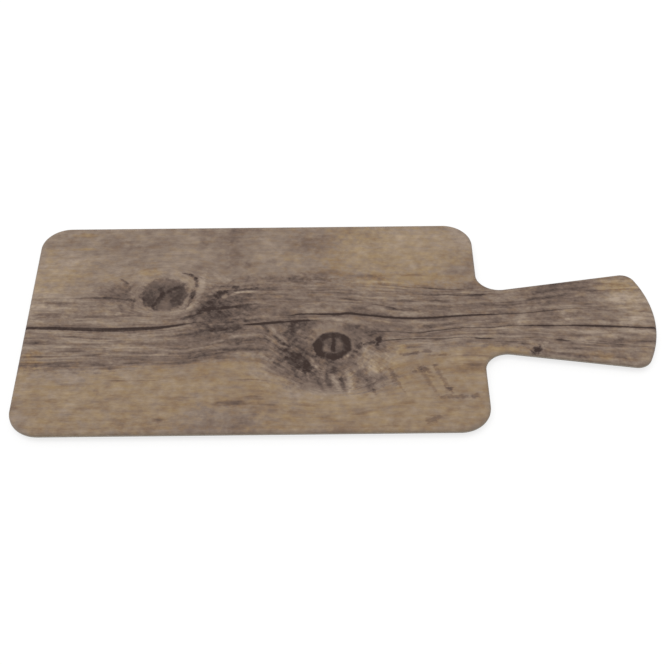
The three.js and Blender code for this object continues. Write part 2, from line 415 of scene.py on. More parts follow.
def section(name, points):
    """A closed flat curve, to be swept along a path."""
    curve = bpy.data.curves.new(name, "CURVE")
    spline = curve.splines.new("POLY")
    spline.points.add(len(points) - 1)
    for point, (x, y) in zip(spline.points, points):
        point.co = (x * MM, -y * MM, 0, 1)
    spline.use_cyclic_u = True
    return add_object(name, curve)


side = [(RIM_WIDTH / 2 + out, height) for out, height in flank()]
rim_section = section("rim_section", side + [(-x, y) for x, y in reversed(side)])
print("rim section:", len(side) * 2, "points")

# %% One pad, and the piece that cuts one well
WELL_DEPTH = 1.2
FOOT_CLEARANCE = 0.3
PAD_WALL = 5.7
FOOT_NODES = ("foot_front_left", "foot_front_right", "foot_rear_left", "foot_rear_right")
FOOT_LOW, FOOT_HIGH = (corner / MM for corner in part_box(FOOT_NODES[0]))
FOOT_RADIUS = (FOOT_HIGH.x - FOOT_LOW.x) / 2
WELL_FLOOR = FOOT_HIGH.z
WELL_RADIUS = FOOT_RADIUS + FOOT_CLEARANCE
PAD_RADIUS = WELL_RADIUS + PAD_WALL
TURN_STEPS = 56


def turned(name, profile):
    """A closed piece turned about Z, from (radius, height) pairs, bottom to top."""
    verts = [(0, 0, profile[0][1] * MM)]
    for radius, height in profile:
        for i in range(TURN_STEPS):
            angle = 2 * math.pi * i / TURN_STEPS
            verts.append((radius * math.cos(angle) * MM, radius * math.sin(angle) * MM, height * MM))
    verts.append((0, 0, profile[-1][1] * MM))
    last = len(verts) - 1
    top = last - TURN_STEPS
    faces = []
    for i in range(TURN_STEPS):
        nxt = (i + 1) % TURN_STEPS
        faces.append((0, 1 + nxt, 1 + i))
        for low in range(1, top, TURN_STEPS):
            faces.append((low + i, low + nxt, low + nxt + TURN_STEPS, low + i + TURN_STEPS))
        faces.append((last, top + i, top + nxt))
    mesh = bpy.data.meshes.new(name)
    mesh.from_pydata(verts, [], faces)
    return add_object(name, mesh)


pad = turned("pad", [(PAD_RADIUS + out, height) for out, height in flank()])
well = turned("well", [(WELL_RADIUS, RIM_BOTTOM - WELL_DEPTH), (WELL_RADIUS, WELL_FLOOR)])
print("pad radius", round(PAD_RADIUS, 2), "mm; well radius", round(WELL_RADIUS, 2), "mm")

# %% Nodes that copy a piece to the four corners of the rim
CORNER_INPUTS = [("Spacing X", FLOAT, 0.1), ("Spacing Y", FLOAT, 0.1), ("Centre", VECTOR, (0, 0, 0))]
PAD_INSET = RIM_INSET + RIM_WIDTH / 2 + PAD_RADIUS
PAD_SPACING_X = BODY_LENGTH - 2 * PAD_INSET
PAD_SPACING_Y = BODY_WIDTH - 2 * PAD_INSET
CORNER_VALUES = {
    "Spacing X": PAD_SPACING_X * MM,
    "Spacing Y": PAD_SPACING_Y * MM,
    "Centre": (BODY_CENTRE_X * MM, 0, 0),
}


def copies_at_corners(wiring, given, piece):
    sizes = {"Size X": given["Spacing X"], "Size Y": given["Spacing Y"], "Vertices X": 2, "Vertices Y": 2}
    grid = wiring.add("GeometryNodeMeshGrid", sizes).outputs["Mesh"]
    moved = wiring.add("GeometryNodeTransform", {"Geometry": grid, "Translation": given["Centre"]})
    copied = wiring.add("GeometryNodeInstanceOnPoints", {"Points": moved.outputs[0], "Instance": piece})
    return wiring.add("GeometryNodeRealizeInstances", {"Geometry": copied.outputs[0]}).outputs[0]


def put_out(wiring, given, result, geometry):
    """Ends a tree: the finished geometry, in the material that the tree is given."""
    painted = {"Geometry": geometry, "Material": given["Material"]}
    wiring.feed(result["Geometry"], wiring.add("GeometryNodeSetMaterial", painted).outputs[0])


print("pads stand", round(PAD_SPACING_X, 1), "x", round(PAD_SPACING_Y, 1), "mm apart")

# %% The tree that moulds the underside
def object_geometry(wiring, source):
    return wiring.add("GeometryNodeObjectInfo", {"Object": source}).outputs["Geometry"]


def boolean(wiring, operation, pieces, first=None):
    node = wiring.add("GeometryNodeMeshBoolean", operation=operation, solver="MANIFOLD")
    if first is not None:
        wiring.feed(node.inputs["Mesh 1"], first)
    for piece in pieces:
        wiring.feed(node.inputs["Mesh 2"], piece)
    return node.outputs["Mesh"]


def underside_tree():
    inputs = [("Geometry", GEOMETRY, None), ("Rim Section", OBJECT, None), ("Pad", OBJECT, None)]
    inputs += [("Well", OBJECT, None), ("Rim Length", FLOAT, 0.2), ("Rim Width", FLOAT, 0.1)]
    inputs += [("Rim Corner", FLOAT, 0.01), *CORNER_INPUTS, ("Material", MATERIAL, None)]
    wiring, given, result = new_tree("Moulded underside", SHAPING, inputs, SHAPED)
    size = {"Width": given["Rim Length"], "Height": given["Rim Width"]}
    path = wiring.add("GeometryNodeCurvePrimitiveQuadrilateral", size).outputs["Curve"]
    bend = {"Curve": path, "Radius": given["Rim Corner"], "Count": CORNER_STEPS}
    path = wiring.add("GeometryNodeFilletCurve", bend, mode="POLY").outputs["Curve"]
    path = wiring.add("GeometryNodeTransform", {"Geometry": path, "Translation": given["Centre"]}).outputs[0]
    sweep = {"Curve": path, "Profile Curve": object_geometry(wiring, given["Rim Section"])}
    rim = wiring.add("GeometryNodeCurveToMesh", sweep).outputs["Mesh"]
    pads = copies_at_corners(wiring, given, object_geometry(wiring, given["Pad"]))
    wells = copies_at_corners(wiring, given, object_geometry(wiring, given["Well"]))
    joined = boolean(wiring, "UNION", [given["Geometry"], rim, pads])
    cut = boolean(wiring, "DIFFERENCE", [wells], first=joined)
    whole = wiring.add("GeometryNodeRealizeInstances", {"Geometry": cut}).outputs[0]
    put_out(wiring, given, result, whole)
    return wiring.tree


UNDERSIDE = underside_tree()
print("underside tree:", len(UNDERSIDE.nodes), "nodes")

# %% Mould the underside
melamine = bpy.data.materials.new("moulded_melamine")
rim_values = {
    "Rim Section": rim_section,
    "Pad": pad,
    "Well": well,
    "Rim Length": (BODY_LENGTH - 2 * RIM_INSET - RIM_WIDTH) * MM,
    "Rim Width": (BODY_WIDTH - 2 * RIM_INSET - RIM_WIDTH) * MM,
    "Rim Corner": PAD_RADIUS * MM,
    "Material": melamine,
}
run_tree(core, UNDERSIDE, {**rim_values, **CORNER_VALUES})
for helper in (rim_section, pad, well):
    bpy.data.objects.remove(helper)
core_heights = [v.co.z / MM for v in core.data.vertices]
lowest, highest = round(min(core_heights), 3), round(max(core_heights), 3)
print("core", len(core.data.polygons), "faces, from z", lowest, "to", highest, "mm")

# %% [markdown]
# ## The feet
# Each foot is a silicone disc with a rounded rim, and a shallow dish in its sole that helps it to grip. Four
# discs could be moved into place by hand. Instead one disc is turned from its profile, and the same grid of
# four points places its copies, so that each one seats in its well.

# %% Make the four feet
FOOT_EDGE_RADIUS = 0.8
SOLE_DISH = 0.35  # how deep the middle of the sole is
SOLE_LAND = 2.2  # width of the ring that touches the table
SOLE_MIDDLE = 0.2  # radius of the innermost ring of points
FOOT_STEPS = 6


def foot_profile():
    dish = FOOT_RADIUS - FOOT_EDGE_RADIUS - SOLE_LAND
    sole = [(dish * math.sin(t), SOLE_DISH * math.cos(t) ** 2) for t in quarter_turn(FOOT_STEPS)[1:]]
    rim = [
        (FOOT_RADIUS - FOOT_EDGE_RADIUS * (1 - math.sin(t)), FOOT_EDGE_RADIUS * (1 - math.cos(t)))
        for t in quarter_turn(FOOT_STEPS)
    ]
    return [(SOLE_MIDDLE, SOLE_DISH), *sole, *rim, (FOOT_RADIUS, WELL_FLOOR)]


def feet_tree():
    inputs = [("Geometry", GEOMETRY, None), *CORNER_INPUTS, ("Material", MATERIAL, None)]
    wiring, given, result = new_tree("Feet at the corners", SHAPING, inputs, SHAPED)
    put_out(wiring, given, result, copies_at_corners(wiring, given, given["Geometry"]))
    return wiring.tree


silicone = bpy.data.materials.new("matt_silicone")
feet = turned("silicone_feet", foot_profile())
run_tree(feet, feet_tree(), {**CORNER_VALUES, "Material": silicone})
print("feet", len(feet.data.polygons), "faces")

# %% [markdown]
# ## Smooth shading
# The rolls and fillets are rows of narrow faces that should look like one curve, while the flats stay flat.
# More faces would do that too, at a cost. Here faces that meet at more than a set angle keep a sharp edge,
# and a weighted normal lets the large flat faces decide how the points beside them are shaded.

# %% Shade the pieces
SHARP_ANGLE = math.radians(32)

for piece in (foil, core, feet):
    piece.data.shade_smooth()
    piece.data.set_sharp_from_angle(angle=SHARP_ANGLE)
    piece.modifiers.new("weighted", "WEIGHTED_NORMAL").keep_sharp = True
    apply_modifiers(piece)
    print(piece.name, "is shaded:", len(piece.data.vertices), "points")

# %% [markdown]
# ## Finishes that more than one material shares
# A pressed melamine face is never optically flat: it has a faint orange peel, a fine fleck in its filler and
# broad clouds where the powder flowed. Silicone shows the same at another scale. The noise could be wired
# anew in each material. Instead it is one node group, Moulded surface, placed in each with its own sizes. It
# puts out a height for the bump, and a fleck and a cloud for the colour, both from -1 to 1.

# %% Group: moulded surface
SHADER = "ShaderNodeTree"
NOISE_SPAN = (0.3, 0.7)  # where nearly all of a noise lies
FLECK_HEIGHT = 0.25  # of the fleck, beside the orange peel


def noise(wiring, place, scale, detail=2.0, roughness=0.5, dimensions="3D"):
    inputs = {"Vector": place, "Scale": scale, "Detail": detail, "Roughness": roughness}
    return wiring.add("ShaderNodeTexNoise", inputs, noise_dimensions=dimensions).outputs["Fac"]


def moulded_surface():
    inputs = [("Place", VECTOR, (0, 0, 0)), ("Peel Scale", FLOAT, 300.0), ("Fleck Scale", FLOAT, 1500.0)]
    inputs += [("Cloud Scale", FLOAT, 20.0)]
    outputs = [("Height", FLOAT), ("Fleck", FLOAT), ("Cloud", FLOAT)]
    wiring, given, result = new_tree("Moulded surface", SHADER, inputs, outputs)
    peel = noise(wiring, given["Place"], given["Peel Scale"])
    fleck = noise(wiring, given["Place"], given["Fleck Scale"], detail=3.0, roughness=0.65)
    wiring.feed(result["Height"], wiring.math("MULTIPLY_ADD", fleck, FLECK_HEIGHT, peel))
    wiring.feed(result["Fleck"], wiring.remap(fleck, *NOISE_SPAN, -1.0, 1.0))
    cloud = noise(wiring, given["Place"], given["Cloud Scale"], detail=5.0, roughness=0.6)
    wiring.feed(result["Cloud"], wiring.remap(cloud, *NOISE_SPAN, -1.0, 1.0))
    return wiring.tree


MOULDED_SURFACE = moulded_surface()
print("group", MOULDED_SURFACE.name, "with", len(MOULDED_SURFACE.nodes), "nodes")

# %% A material with the moulded surface in its gloss and its bump
HEIGHT_SPAN = (0.3, 0.9)
BUMP_DISTANCE = 0.1 * MM


def place_group(wiring, tree, inputs):
    node = wiring.add("ShaderNodeGroup", node_tree=tree)
    for key, value in inputs.items():
        wiring.feed(node.inputs[key], value)
    return node.outputs


def material_wiring(material):
    material.use_nodes = True
    material.node_tree.nodes.clear()
    wiring = Wiring(material.node_tree)
    shader = wiring.add("ShaderNodeBsdfPrincipled")
    wiring.add("ShaderNodeOutputMaterial", {"Surface": shader.outputs["BSDF"]})
    return wiring, shader


def mould(wiring, shader, scales, roughness, bump_strength):
    """Lays the moulded surface on a shader, and gives the group's outputs."""
    place = wiring.add("ShaderNodeTexCoord").outputs["Object"]
    surface = place_group(wiring, MOULDED_SURFACE, {"Place": place, **scales})
    wiring.feed(shader.inputs["Roughness"], wiring.remap(surface["Height"], *HEIGHT_SPAN, *roughness))
    relief = {"Height": surface["Height"], "Strength": bump_strength, "Distance": BUMP_DISTANCE}
    wiring.feed(shader.inputs["Normal"], wiring.add("ShaderNodeBump", relief).outputs["Normal"])
    return surface


print("bumps are", round(BUMP_DISTANCE / MM, 3), "mm deep at full strength")

# %% Materials of the core and of the feet
FLECK_SHARE = 0.3
CLOUD_SHARE = 0.2


def linear(red, green, blue):
    """A colour given in display values from 0 to 255, as Blender's linear colour."""
    def channel(value):
        share = value / 255
        return share / 12.92 if share <= 0.04045 else ((share + 0.055) / 1.055) ** 2.4

    return (channel(red), channel(green), channel(blue), 1.0)


def mix_colour(wiring, factor, first, second):
    node = wiring.add("ShaderNodeMix", data_type="RGBA")
    for key, value in ((0, factor), (6, first), (7, second)):
        wiring.feed(node.inputs[key], value)
    return node


def moulded_finish(material, dark, light, scales, roughness, bump_strength):
    wiring, shader = material_wiring(material)
    surface = mould(wiring, shader, scales, roughness, bump_strength)
    share = wiring.math("MULTIPLY_ADD", surface["Fleck"], FLECK_SHARE, 0.5)
    share = wiring.math("MULTIPLY_ADD", surface["Cloud"], CLOUD_SHARE, share)
    wiring.feed(shader.inputs["Base Color"], mix_colour(wiring, share, dark, light).outputs[2])


CORE_COLOURS = (linear(143, 131, 117), linear(171, 159, 145))
CORE_SCALES = {"Peel Scale": 420.0, "Fleck Scale": 1800.0, "Cloud Scale": 24.0}
SILICONE_COLOURS = (linear(55, 50, 47), linear(75, 70, 66))
SILICONE_SCALES = {"Peel Scale": 900.0, "Fleck Scale": 3000.0, "Cloud Scale": 160.0}
moulded_finish(melamine, *CORE_COLOURS, CORE_SCALES, roughness=(0.4, 0.52), bump_strength=0.12)
moulded_finish(silicone, *SILICONE_COLOURS, SILICONE_SCALES, roughness=(0.7, 0.85), bump_strength=0.25)
print("finishes:", melamine.name, "and", silicone.name)

# %% [markdown]
# ## The print: how the grain flows
# The print shows a weathered plank. Its grain runs along the board, bends round two knots, and fans out in
# the handle. A picture could be wrapped round the board, but nodes stay sharp at any size and every stroke
# can be changed. A few guide lines are drawn along the grain, each a list of points in millimetres on the
# flat paper. Between two guides the grain is spread evenly, which gives every point a grain height: points
# on one fibre share it. Noise that is long in x and fine across the grain height then looks like fibres
# that follow the flow. The guides at -22, -7, 0 and 6 also carry the cracks.

# %% Guide lines of the grain, by their grain height
GRAIN_GUIDES = {
    -70: [(-155, -70), (0, -68), (50, -72), (100, -68), (270, -70)],
    -52: [(-155, -52), (-60, -51), (0, -50), (30, -58), (55, -65), (82, -58), (110, -50), (160, -48),
          (270, -56)],
    -38: [(-155, -38), (-95, -38), (-50, -37.5), (-28, -34.5), (-10, -33), (3, -33.5), (14, -39), (25, -50),
          (38, -57), (55, -60), (70, -56), (82, -46), (94, -37), (112, -33), (140, -31), (170, -33),
          (205, -38), (270, -44)],
    -30: [(-155, -29.5), (-105, -29.5), (-50, -30), (-30, -27.5), (-3, -26), (7, -26), (14, -30), (23, -40),
          (33, -48), (45, -53), (56, -54), (66, -49), (76, -37), (88, -27.5), (105, -25), (130, -24.5),
          (165, -22.5), (200, -27), (270, -32)],
    -22: [(-155, -21), (-115, -21.5), (-80, -21.5), (-50, -23), (-30, -20.5), (-15, -16.5), (0, -14),
          (6, -14.5), (12, -19), (20, -29), (28, -38), (38, -44), (52, -46.5), (62, -42), (70, -31),
          (78, -20.5), (86, -19), (105, -17.7), (122, -17.8), (138, -16.5), (150, -18), (185, -17.5),
          (203, -20.5), (240, -25), (270, -27)],
    -13: [(-155, -12), (-117, -13), (-95, -14.5), (-70, -13.5), (-48, -12), (-33, -8.5), (-18, -6.5),
          (-5, -5.5), (4, -6), (9, -9), (15, -16), (22, -24), (30, -32), (38, -37), (52, -39.5), (60, -37),
          (67, -27), (74, -17.5), (84, -14.5), (107, -14.5), (125, -13), (160, -12), (200, -13.5),
          (270, -18)],
    -7: [(-155, -8), (-92, -10), (-62, -8.5), (-45, -5.5), (-20, -3.5), (-8, -3), (0, -2.7), (10, -1.6),
         (24, -0.5), (36, 0.2), (48, -1), (60, -3.5), (70, -7.5), (78, -10), (92, -11), (107, -12),
         (120, -10.3), (140, -8), (155, -8), (168, -6.6), (188, -6.8), (204, -6.8), (222, -7.4), (248, -9),
         (270, -10.5)],
    0: [(-155, -3.9), (-130, -4.6), (-110, -5.7), (-92, -6.6), (-78, -6), (-62, -5), (-50, -3), (-42, -1.2),
        (-30, 0.2), (-15, 1.5), (0, 2.2), (20, 3.2), (45, 3.5), (60, 3.8), (70, 2.6), (88, -1), (110, -4),
        (140, -2.5), (170, -1), (200, 1), (270, 0)],
    6: [(-155, 2.5), (-117, 0.5), (-88, 0), (-60, -0.5), (-45, 2), (-30, 5.5), (-10, 6.5), (10, 5.5),
        (22, 5), (33, 6.4), (45, 6), (55, 5.7), (62, 6.6), (70, 5.5), (82, 3.6), (95, 1.9), (106, 1.2),
        (120, 1.8), (130, 2.8), (150, 3.9), (165, 4.5), (180, 5.2), (198, 7.5), (215, 9), (235, 7.5),
        (270, 6)],
    12: [(-155, 8.5), (-130, 8), (-118, 5.6), (-100, 5.5), (-86, 6.3), (-70, 5.3), (-60, 4.2), (-50, 5.2),
         (-40, 9.5), (-25, 12.2), (-12, 14), (0, 16), (20, 16.5), (50, 15.5), (70, 14.5), (84, 13),
         (92, 11.8), (102, 10), (120, 9), (150, 11), (165, 11), (200, 14), (270, 14)],
    20: [(-155, 19), (-112, 19), (-93, 18.4), (-85, 16), (-77, 11.6), (-66, 8.8), (-52, 9), (-44, 12.5),
         (-36, 18), (-25, 22), (-10, 23), (20, 23), (60, 21), (85, 19), (110, 17.5), (127, 17), (165, 16),
         (185, 18), (205, 22.5), (235, 25.5), (270, 27)],
    27: [(-155, 25), (-117, 24), (-93, 23.3), (-86, 21.5), (-80, 16.5), (-73, 12.6), (-60, 10.8), (-48, 13),
         (-41, 20), (-33, 27), (-20, 28.5), (0, 28.5), (20, 29), (60, 27.5), (95, 25.5), (130, 23.5),
         (155, 23.5), (185, 25), (205, 28), (270, 32)],
    40: [(-155, 36), (-117, 37), (-100, 40), (-85, 45), (-72, 48.5), (-60, 49.5), (-48, 47.5), (-40, 43.5),
         (-30, 39), (-15, 37), (0, 38), (20, 39.5), (60, 37), (95, 33), (120, 29.8), (146, 29), (165, 32),
         (205, 38), (270, 43)],
    66: [(-155, 66), (-60, 68), (20, 67), (270, 66)],
}
print(len(GRAIN_GUIDES), "guide lines with", sum(map(len, GRAIN_GUIDES.values())), "points")

# %% The grain height of a point
PAPER_LEFT, PAPER_RIGHT = -155.0, 270.0
PAPER_LOW, PAPER_HIGH = -100.0, 100.0
FIRST_KNOT = (-60.3, 26.8)


def line_height(points, x):
    """The height of a guide line at x, straight between its points."""
    for (x0, y0), (x1, y1) in zip(points, points[1:]):
        if x0 <= x <= x1:
            return y0 + (y1 - y0) * (x - x0) / (x1 - x0)
    return points[-1][1]


def grain_height(x, y):
    lines = [(PAPER_LOW, PAPER_LOW)]
    lines += [(height, line_height(points, x)) for height, points in GRAIN_GUIDES.items()]
    lines += [(PAPER_HIGH, PAPER_HIGH)]
    for (h0, y0), (h1, y1) in zip(lines, lines[1:]):
        if y <= y1:
            return h0 + (h1 - h0) * (y - y0) / (y1 - y0)
    return y


print("grain height in the first knot:", round(grain_height(*FIRST_KNOT), 1))

# %% The same rule in nodes, with smooth curves
def along(x):
    """A place along the paper, from 0 to 1, as a Float Curve needs it."""
    return (x - PAPER_LEFT) / (PAPER_RIGHT - PAPER_LEFT)


def across(y):
    return (y - PAPER_LOW) / (PAPER_HIGH - PAPER_LOW)


def curve_node(wiring, factor, points):
    """A smooth curve through points whose x and y run from 0 to 1."""
    node = wiring.add("ShaderNodeFloatCurve", {"Value": factor})
    curve = node.mapping.curves[0]
    curve.points[0].location = points[0]
    curve.points[1].location = points[-1]
    for x, y in points[1:-1]:
        curve.points.new(x, y)
    for point in curve.points:
        point.handle_type = "AUTO_CLAMPED"
    node.mapping.update()
    return node.outputs["Value"]


def paper_curve(wiring, factor, points):
    return curve_node(wiring, factor, [(along(x), across(y)) for x, y in points])


def grain_flow(wiring, share_x, y):
    """Sockets of every guide line, by its height, and of the grain height."""
    share_y = wiring.remap(y, PAPER_LOW, PAPER_HIGH)
    guides = {height: paper_curve(wiring, share_x, points) for height, points in GRAIN_GUIDES.items()}
    levels = [(PAPER_LOW, 0.0), *guides.items(), (PAPER_HIGH, 1.0)]
    total = PAPER_LOW
    for (low, low_line), (high, high_line) in zip(levels, levels[1:]):
        step = wiring.remap(share_y, low_line, high_line, 0.0, high - low)
        total = wiring.math("ADD", total, step)
    return guides, total


print("the middle of the body lies at", round(along(0), 3), "along and", across(0), "across the paper")

# %% [markdown]
# ## The print: fibres, marks, cracks and knots
# A print like this is built up as a retoucher would: broad tones first, then fibres, then single marks. Each
# kind of mark is one small node group. Tones are written as lightness on a scale from 0 to 1, so a mark of
# -0.1 darkens what is below it by a tenth of the way from white to black.

# %% Group: fibres
def fibres_group():
    """Noise from -1 to 1, stretched to the length and width of the fibres, and moved by a seed."""
    inputs = [("Grain", VECTOR, (0, 0, 0)), ("Length", FLOAT, 40.0), ("Width", FLOAT, 2.0)]
    inputs += [("Seed", FLOAT, 0.0)]
    wiring, given, result = new_tree("Fibres", SHADER, inputs, [("Fibre", FLOAT)])
    size = wiring.combine(given["Length"], given["Width"], 1.0)
    shift = wiring.combine(given["Seed"], given["Seed"])
    place = wiring.vector("ADD", wiring.vector("DIVIDE", given["Grain"], size), shift)
    fibre = noise(wiring, place, 1.0, detail=3.0, roughness=0.55, dimensions="2D")
    wiring.feed(result["Fibre"], wiring.math("MULTIPLY_ADD", fibre, 2.0, -1.0))
    return wiring.tree


def fibres(wiring, grain, length, width, seed):
    inputs = {"Grain": grain, "Length": length, "Width": width, "Seed": seed}
    return place_group(wiring, FIBRES, inputs)["Fibre"]


FIBRES = fibres_group()
print("group", FIBRES.name, "with", len(FIBRES.nodes), "nodes")

# %% Group: one mark
def mark_group():
    """Stamps one ellipse on a sheet: a vector that carries x, y and the tone so far."""
    inputs = [("Sheet", VECTOR, (0, 0, 0)), ("Centre", VECTOR, (0, 0, 0)), ("Half Size", VECTOR, (1, 1, 1))]
    inputs += [("Turn", VECTOR, (0, 0, 0)), ("Softness", FLOAT, 0.5), ("Ragged", FLOAT, 0.0)]
    inputs += [("Tone", FLOAT, -0.1)]
    wiring, given, result = new_tree("Mark", SHADER, inputs, [("Sheet", VECTOR)])
    frame_of_mark = {"Vector": given["Sheet"], "Location": given["Centre"], "Rotation": given["Turn"]}
    frame_of_mark["Scale"] = given["Half Size"]
    inner = wiring.add("ShaderNodeMapping", frame_of_mark, vector_type="TEXTURE").outputs["Vector"]
    flat = wiring.vector("MULTIPLY", inner, (1, 1, 0))
    reach = wiring.math("ADD", wiring.vector("LENGTH", flat), given["Ragged"])
    start = wiring.math("SUBTRACT", 1.0, given["Softness"])
    end = wiring.math("ADD", 1.0, given["Softness"])
    stamp = wiring.remap(reach, start, end, given["Tone"], 0.0, smooth=True)
    wiring.feed(result["Sheet"], wiring.vector("ADD", given["Sheet"], wiring.combine(0, 0, stamp)))
    return wiring.tree


def add_marks(wiring, tone, marks, x, y, ragged, softness):
    """Stamps a list of marks one after the other, and gives the tone they leave."""
    sheet = wiring.combine(x, y, tone)
    for at_x, at_y, half_length, half_width, mark_tone, *turn in marks:
        inputs = {
            "Sheet": sheet,
            "Centre": (at_x, at_y, 0),
            "Half Size": (half_length, half_width, 1),
            "Turn": (0, 0, math.radians(turn[0]) if turn else 0),
            "Softness": softness,
            "Ragged": ragged,
            "Tone": mark_tone,
        }
        sheet = place_group(wiring, MARK, inputs)["Sheet"]
    return wiring.add("ShaderNodeSeparateXYZ", {"Vector": sheet}).outputs["Z"]


MARK = mark_group()
print("group", MARK.name, "with", len(MARK.nodes), "nodes")

# %% Group: a crack along a guide line
CRACK_WIDTH = 2.0  # mm of half width where a crack's width curve is 1
HAIRLINE = 0.05  # mm of half width that is always there
CRACK_EDGE = (0.5, 1.4)  # half widths from the line, between which the dark of a crack ends
SHADE_EDGE = (0.5, 3.2)  # the same for the fainter shade beside it
SHADE_SHARE = 0.2
FULL_DEPTH = 0.35  # share of the width curve from which a crack is fully dark


def crack_group():
    inputs = [("Across", FLOAT, 0.0), ("Line", FLOAT, 0.0), ("Half Width", FLOAT, 0.0)]
    inputs += [("Wobble", FLOAT, 0.0), ("Tone", FLOAT, -0.3)]
    wiring, given, result = new_tree("Crack", SHADER, inputs, [("Tone", FLOAT)])
    height = wiring.remap(given["Line"], 0.0, 1.0, PAPER_LOW, PAPER_HIGH)
    offset = wiring.math("ADD", wiring.math("SUBTRACT", given["Across"], height), given["Wobble"])
    half = wiring.math("MULTIPLY_ADD", given["Half Width"], CRACK_WIDTH, HAIRLINE)
    reach = wiring.math("DIVIDE", wiring.math("ABSOLUTE", offset), half)
    dark = wiring.remap(reach, *CRACK_EDGE, 1.0, 0.0, smooth=True)
    shade = wiring.remap(reach, *SHADE_EDGE, SHADE_SHARE, 0.0, smooth=True)
    depth = wiring.remap(given["Half Width"], 0.0, FULL_DEPTH)
    total = wiring.math("MULTIPLY", wiring.math("MAXIMUM", dark, shade), depth)
    wiring.feed(result["Tone"], wiring.math("MULTIPLY", total, given["Tone"]))
    return wiring.tree


CRACK = crack_group()
print("group", CRACK.name, "with", len(CRACK.nodes), "nodes")

# %% Group: a knot
KNOT_EDGE = (0.9, 1.1)  # radii between which a knot ends
RIM_BLUR = 0.08  # radii on each side of the start of its rim
HALO_REACH = 1.27  # radii at which the halo is strongest
HALO_FADE = (0.05, 0.32)  # radii from there, between which it fades
RING_DENSITY = 2.4  # radians of ring per mm
COVER_FADE = (1.0, 1.6)  # radii between which straight fibres come back


def knot_group():
    """The tone of a knot with its rim, halo and rings, and how far it covers the grain."""
    inputs = [("Place", VECTOR, (0, 0, 0)), ("Centre", VECTOR, (0, 0, 0)), ("Radius", FLOAT, 15.0)]
    inputs += [("Rim Start", FLOAT, 0.6), ("Rim Tone", FLOAT, -0.2), ("Heart Tone", FLOAT, -0.1)]
    inputs += [("Halo Tone", FLOAT, 0.03), ("Ring Tone", FLOAT, 0.02), ("Raggedness", FLOAT, 0.1)]
    inputs += [("Crumbs", FLOAT, 0.0)]
    wiring, given, result = new_tree("Knot", SHADER, inputs, [("Tone", FLOAT), ("Cover", FLOAT)])
    distance = wiring.vector("LENGTH", wiring.vector("SUBTRACT", given["Place"], given["Centre"]))
    reach = wiring.math("DIVIDE", distance, given["Radius"])
    reach = wiring.math("MULTIPLY_ADD", given["Crumbs"], given["Raggedness"], reach)
    disc = wiring.remap(reach, *KNOT_EDGE, 1.0, 0.0, smooth=True)
    rim_from = wiring.math("SUBTRACT", given["Rim Start"], RIM_BLUR)
    rim_to = wiring.math("ADD", given["Rim Start"], RIM_BLUR)
    tone = wiring.remap(reach, rim_from, rim_to, given["Heart Tone"], given["Rim Tone"], smooth=True)
    tone = wiring.math("MULTIPLY", tone, disc)
    from_halo = wiring.math("ABSOLUTE", wiring.math("SUBTRACT", reach, HALO_REACH))
    halo = wiring.remap(from_halo, *HALO_FADE, 1.0, 0.0, smooth=True)
    tone = wiring.math("MULTIPLY_ADD", halo, given["Halo Tone"], tone)
    phase = wiring.math("MULTIPLY", wiring.math("MULTIPLY", reach, given["Radius"]), RING_DENSITY)
    rings = wiring.math("MULTIPLY", wiring.math("SINE", phase), given["Ring Tone"])
    wiring.feed(result["Tone"], wiring.math("MULTIPLY_ADD", rings, halo, tone))
    wiring.feed(result["Cover"], wiring.remap(reach, *COVER_FADE, 1.0, 0.0, smooth=True))
    return wiring.tree


KNOT = knot_group()
print("group", KNOT.name, "with", len(KNOT.nodes), "nodes")

# %% [markdown]
# ## The print: what is drawn where
# These lists are the drawing itself, in millimetres from the middle of the body. The weathered band lies
# between two edges. A crack is a guide line with a half width at some of its points. Marks are ellipses,
# each given as x, y, half length, half width and tone, with a turn in degrees where it isn't level. Blotches
# are soft, spots are crisp, and streaks follow the grain.

# %% The drawing: the band and its cracks
BAND_UPPER = [
    (-155, 24), (-120, 26), (-95, 34), (-78, 36), (-60, 38), (-35, 36), (0, 38), (30, 42), (60, 37),
    (85, 34), (115, 32), (140, 32), (152, 40), (200, 50), (270, 55),
]
BAND_LOWER = [
    (-155, -40), (-130, -42), (-98, -42), (-70, -39), (-45, -38), (-20, -34.5), (-8, -32.5), (4, -33),
    (12, -42), (26, -53), (42, -60), (58, -63), (74, -62), (84, -50), (92, -32), (100, -25), (125, -25),
    (150, -24), (175, -28), (190, -50), (270, -55),
]
CRACKS = {
    0: [(-155, 1.25), (-130, 1.45), (-92, 1.8), (-70, 1.6), (-56, 1.05), (-46, 0.55), (-36, 0.28),
        (-26, 0.14), (-18, 0)],
    -7: [(-11, 0), (-5, 0.5), (1, 1.0), (8, 1.2), (18, 1.1), (22, 0.6), (26, 0.8), (32, 0.9), (37, 0.45),
         (45, 0.15), (50, 0), (76, 0), (84, 0.3), (107, 0.35), (116, 0.45), (150, 0.35), (170, 0.32),
         (185, 0.55), (192, 0.65), (202, 0.5), (208, 0.5), (217, 0.85), (235, 0.9), (243, 0.65), (270, 0.7)],
    6: [(16, 0), (24, 0.3), (30, 0.6), (38, 0.65), (45, 0.85), (62, 1.1), (80, 0.9), (100, 0.95), (130, 0.9),
        (148, 0.75), (158, 0.6), (166, 0.35), (196, 0.35), (215, 0.25), (228, 0.25), (238, 0)],
    -22: [(80, 0), (86, 0.32), (105, 0.4), (115, 0.3), (130, 0.36), (138, 0.25), (143, 0.25), (146, 0.65),
          (154, 0.65), (158, 0.2), (185, 0.2), (196, 0.25), (199, 0.5), (205, 0.45), (210, 0.2), (232, 0.35),
          (242, 0.25), (250, 0)],
}
CRACK_TONE = -0.3
print(len(CRACKS), "cracks along the guides", *CRACKS)

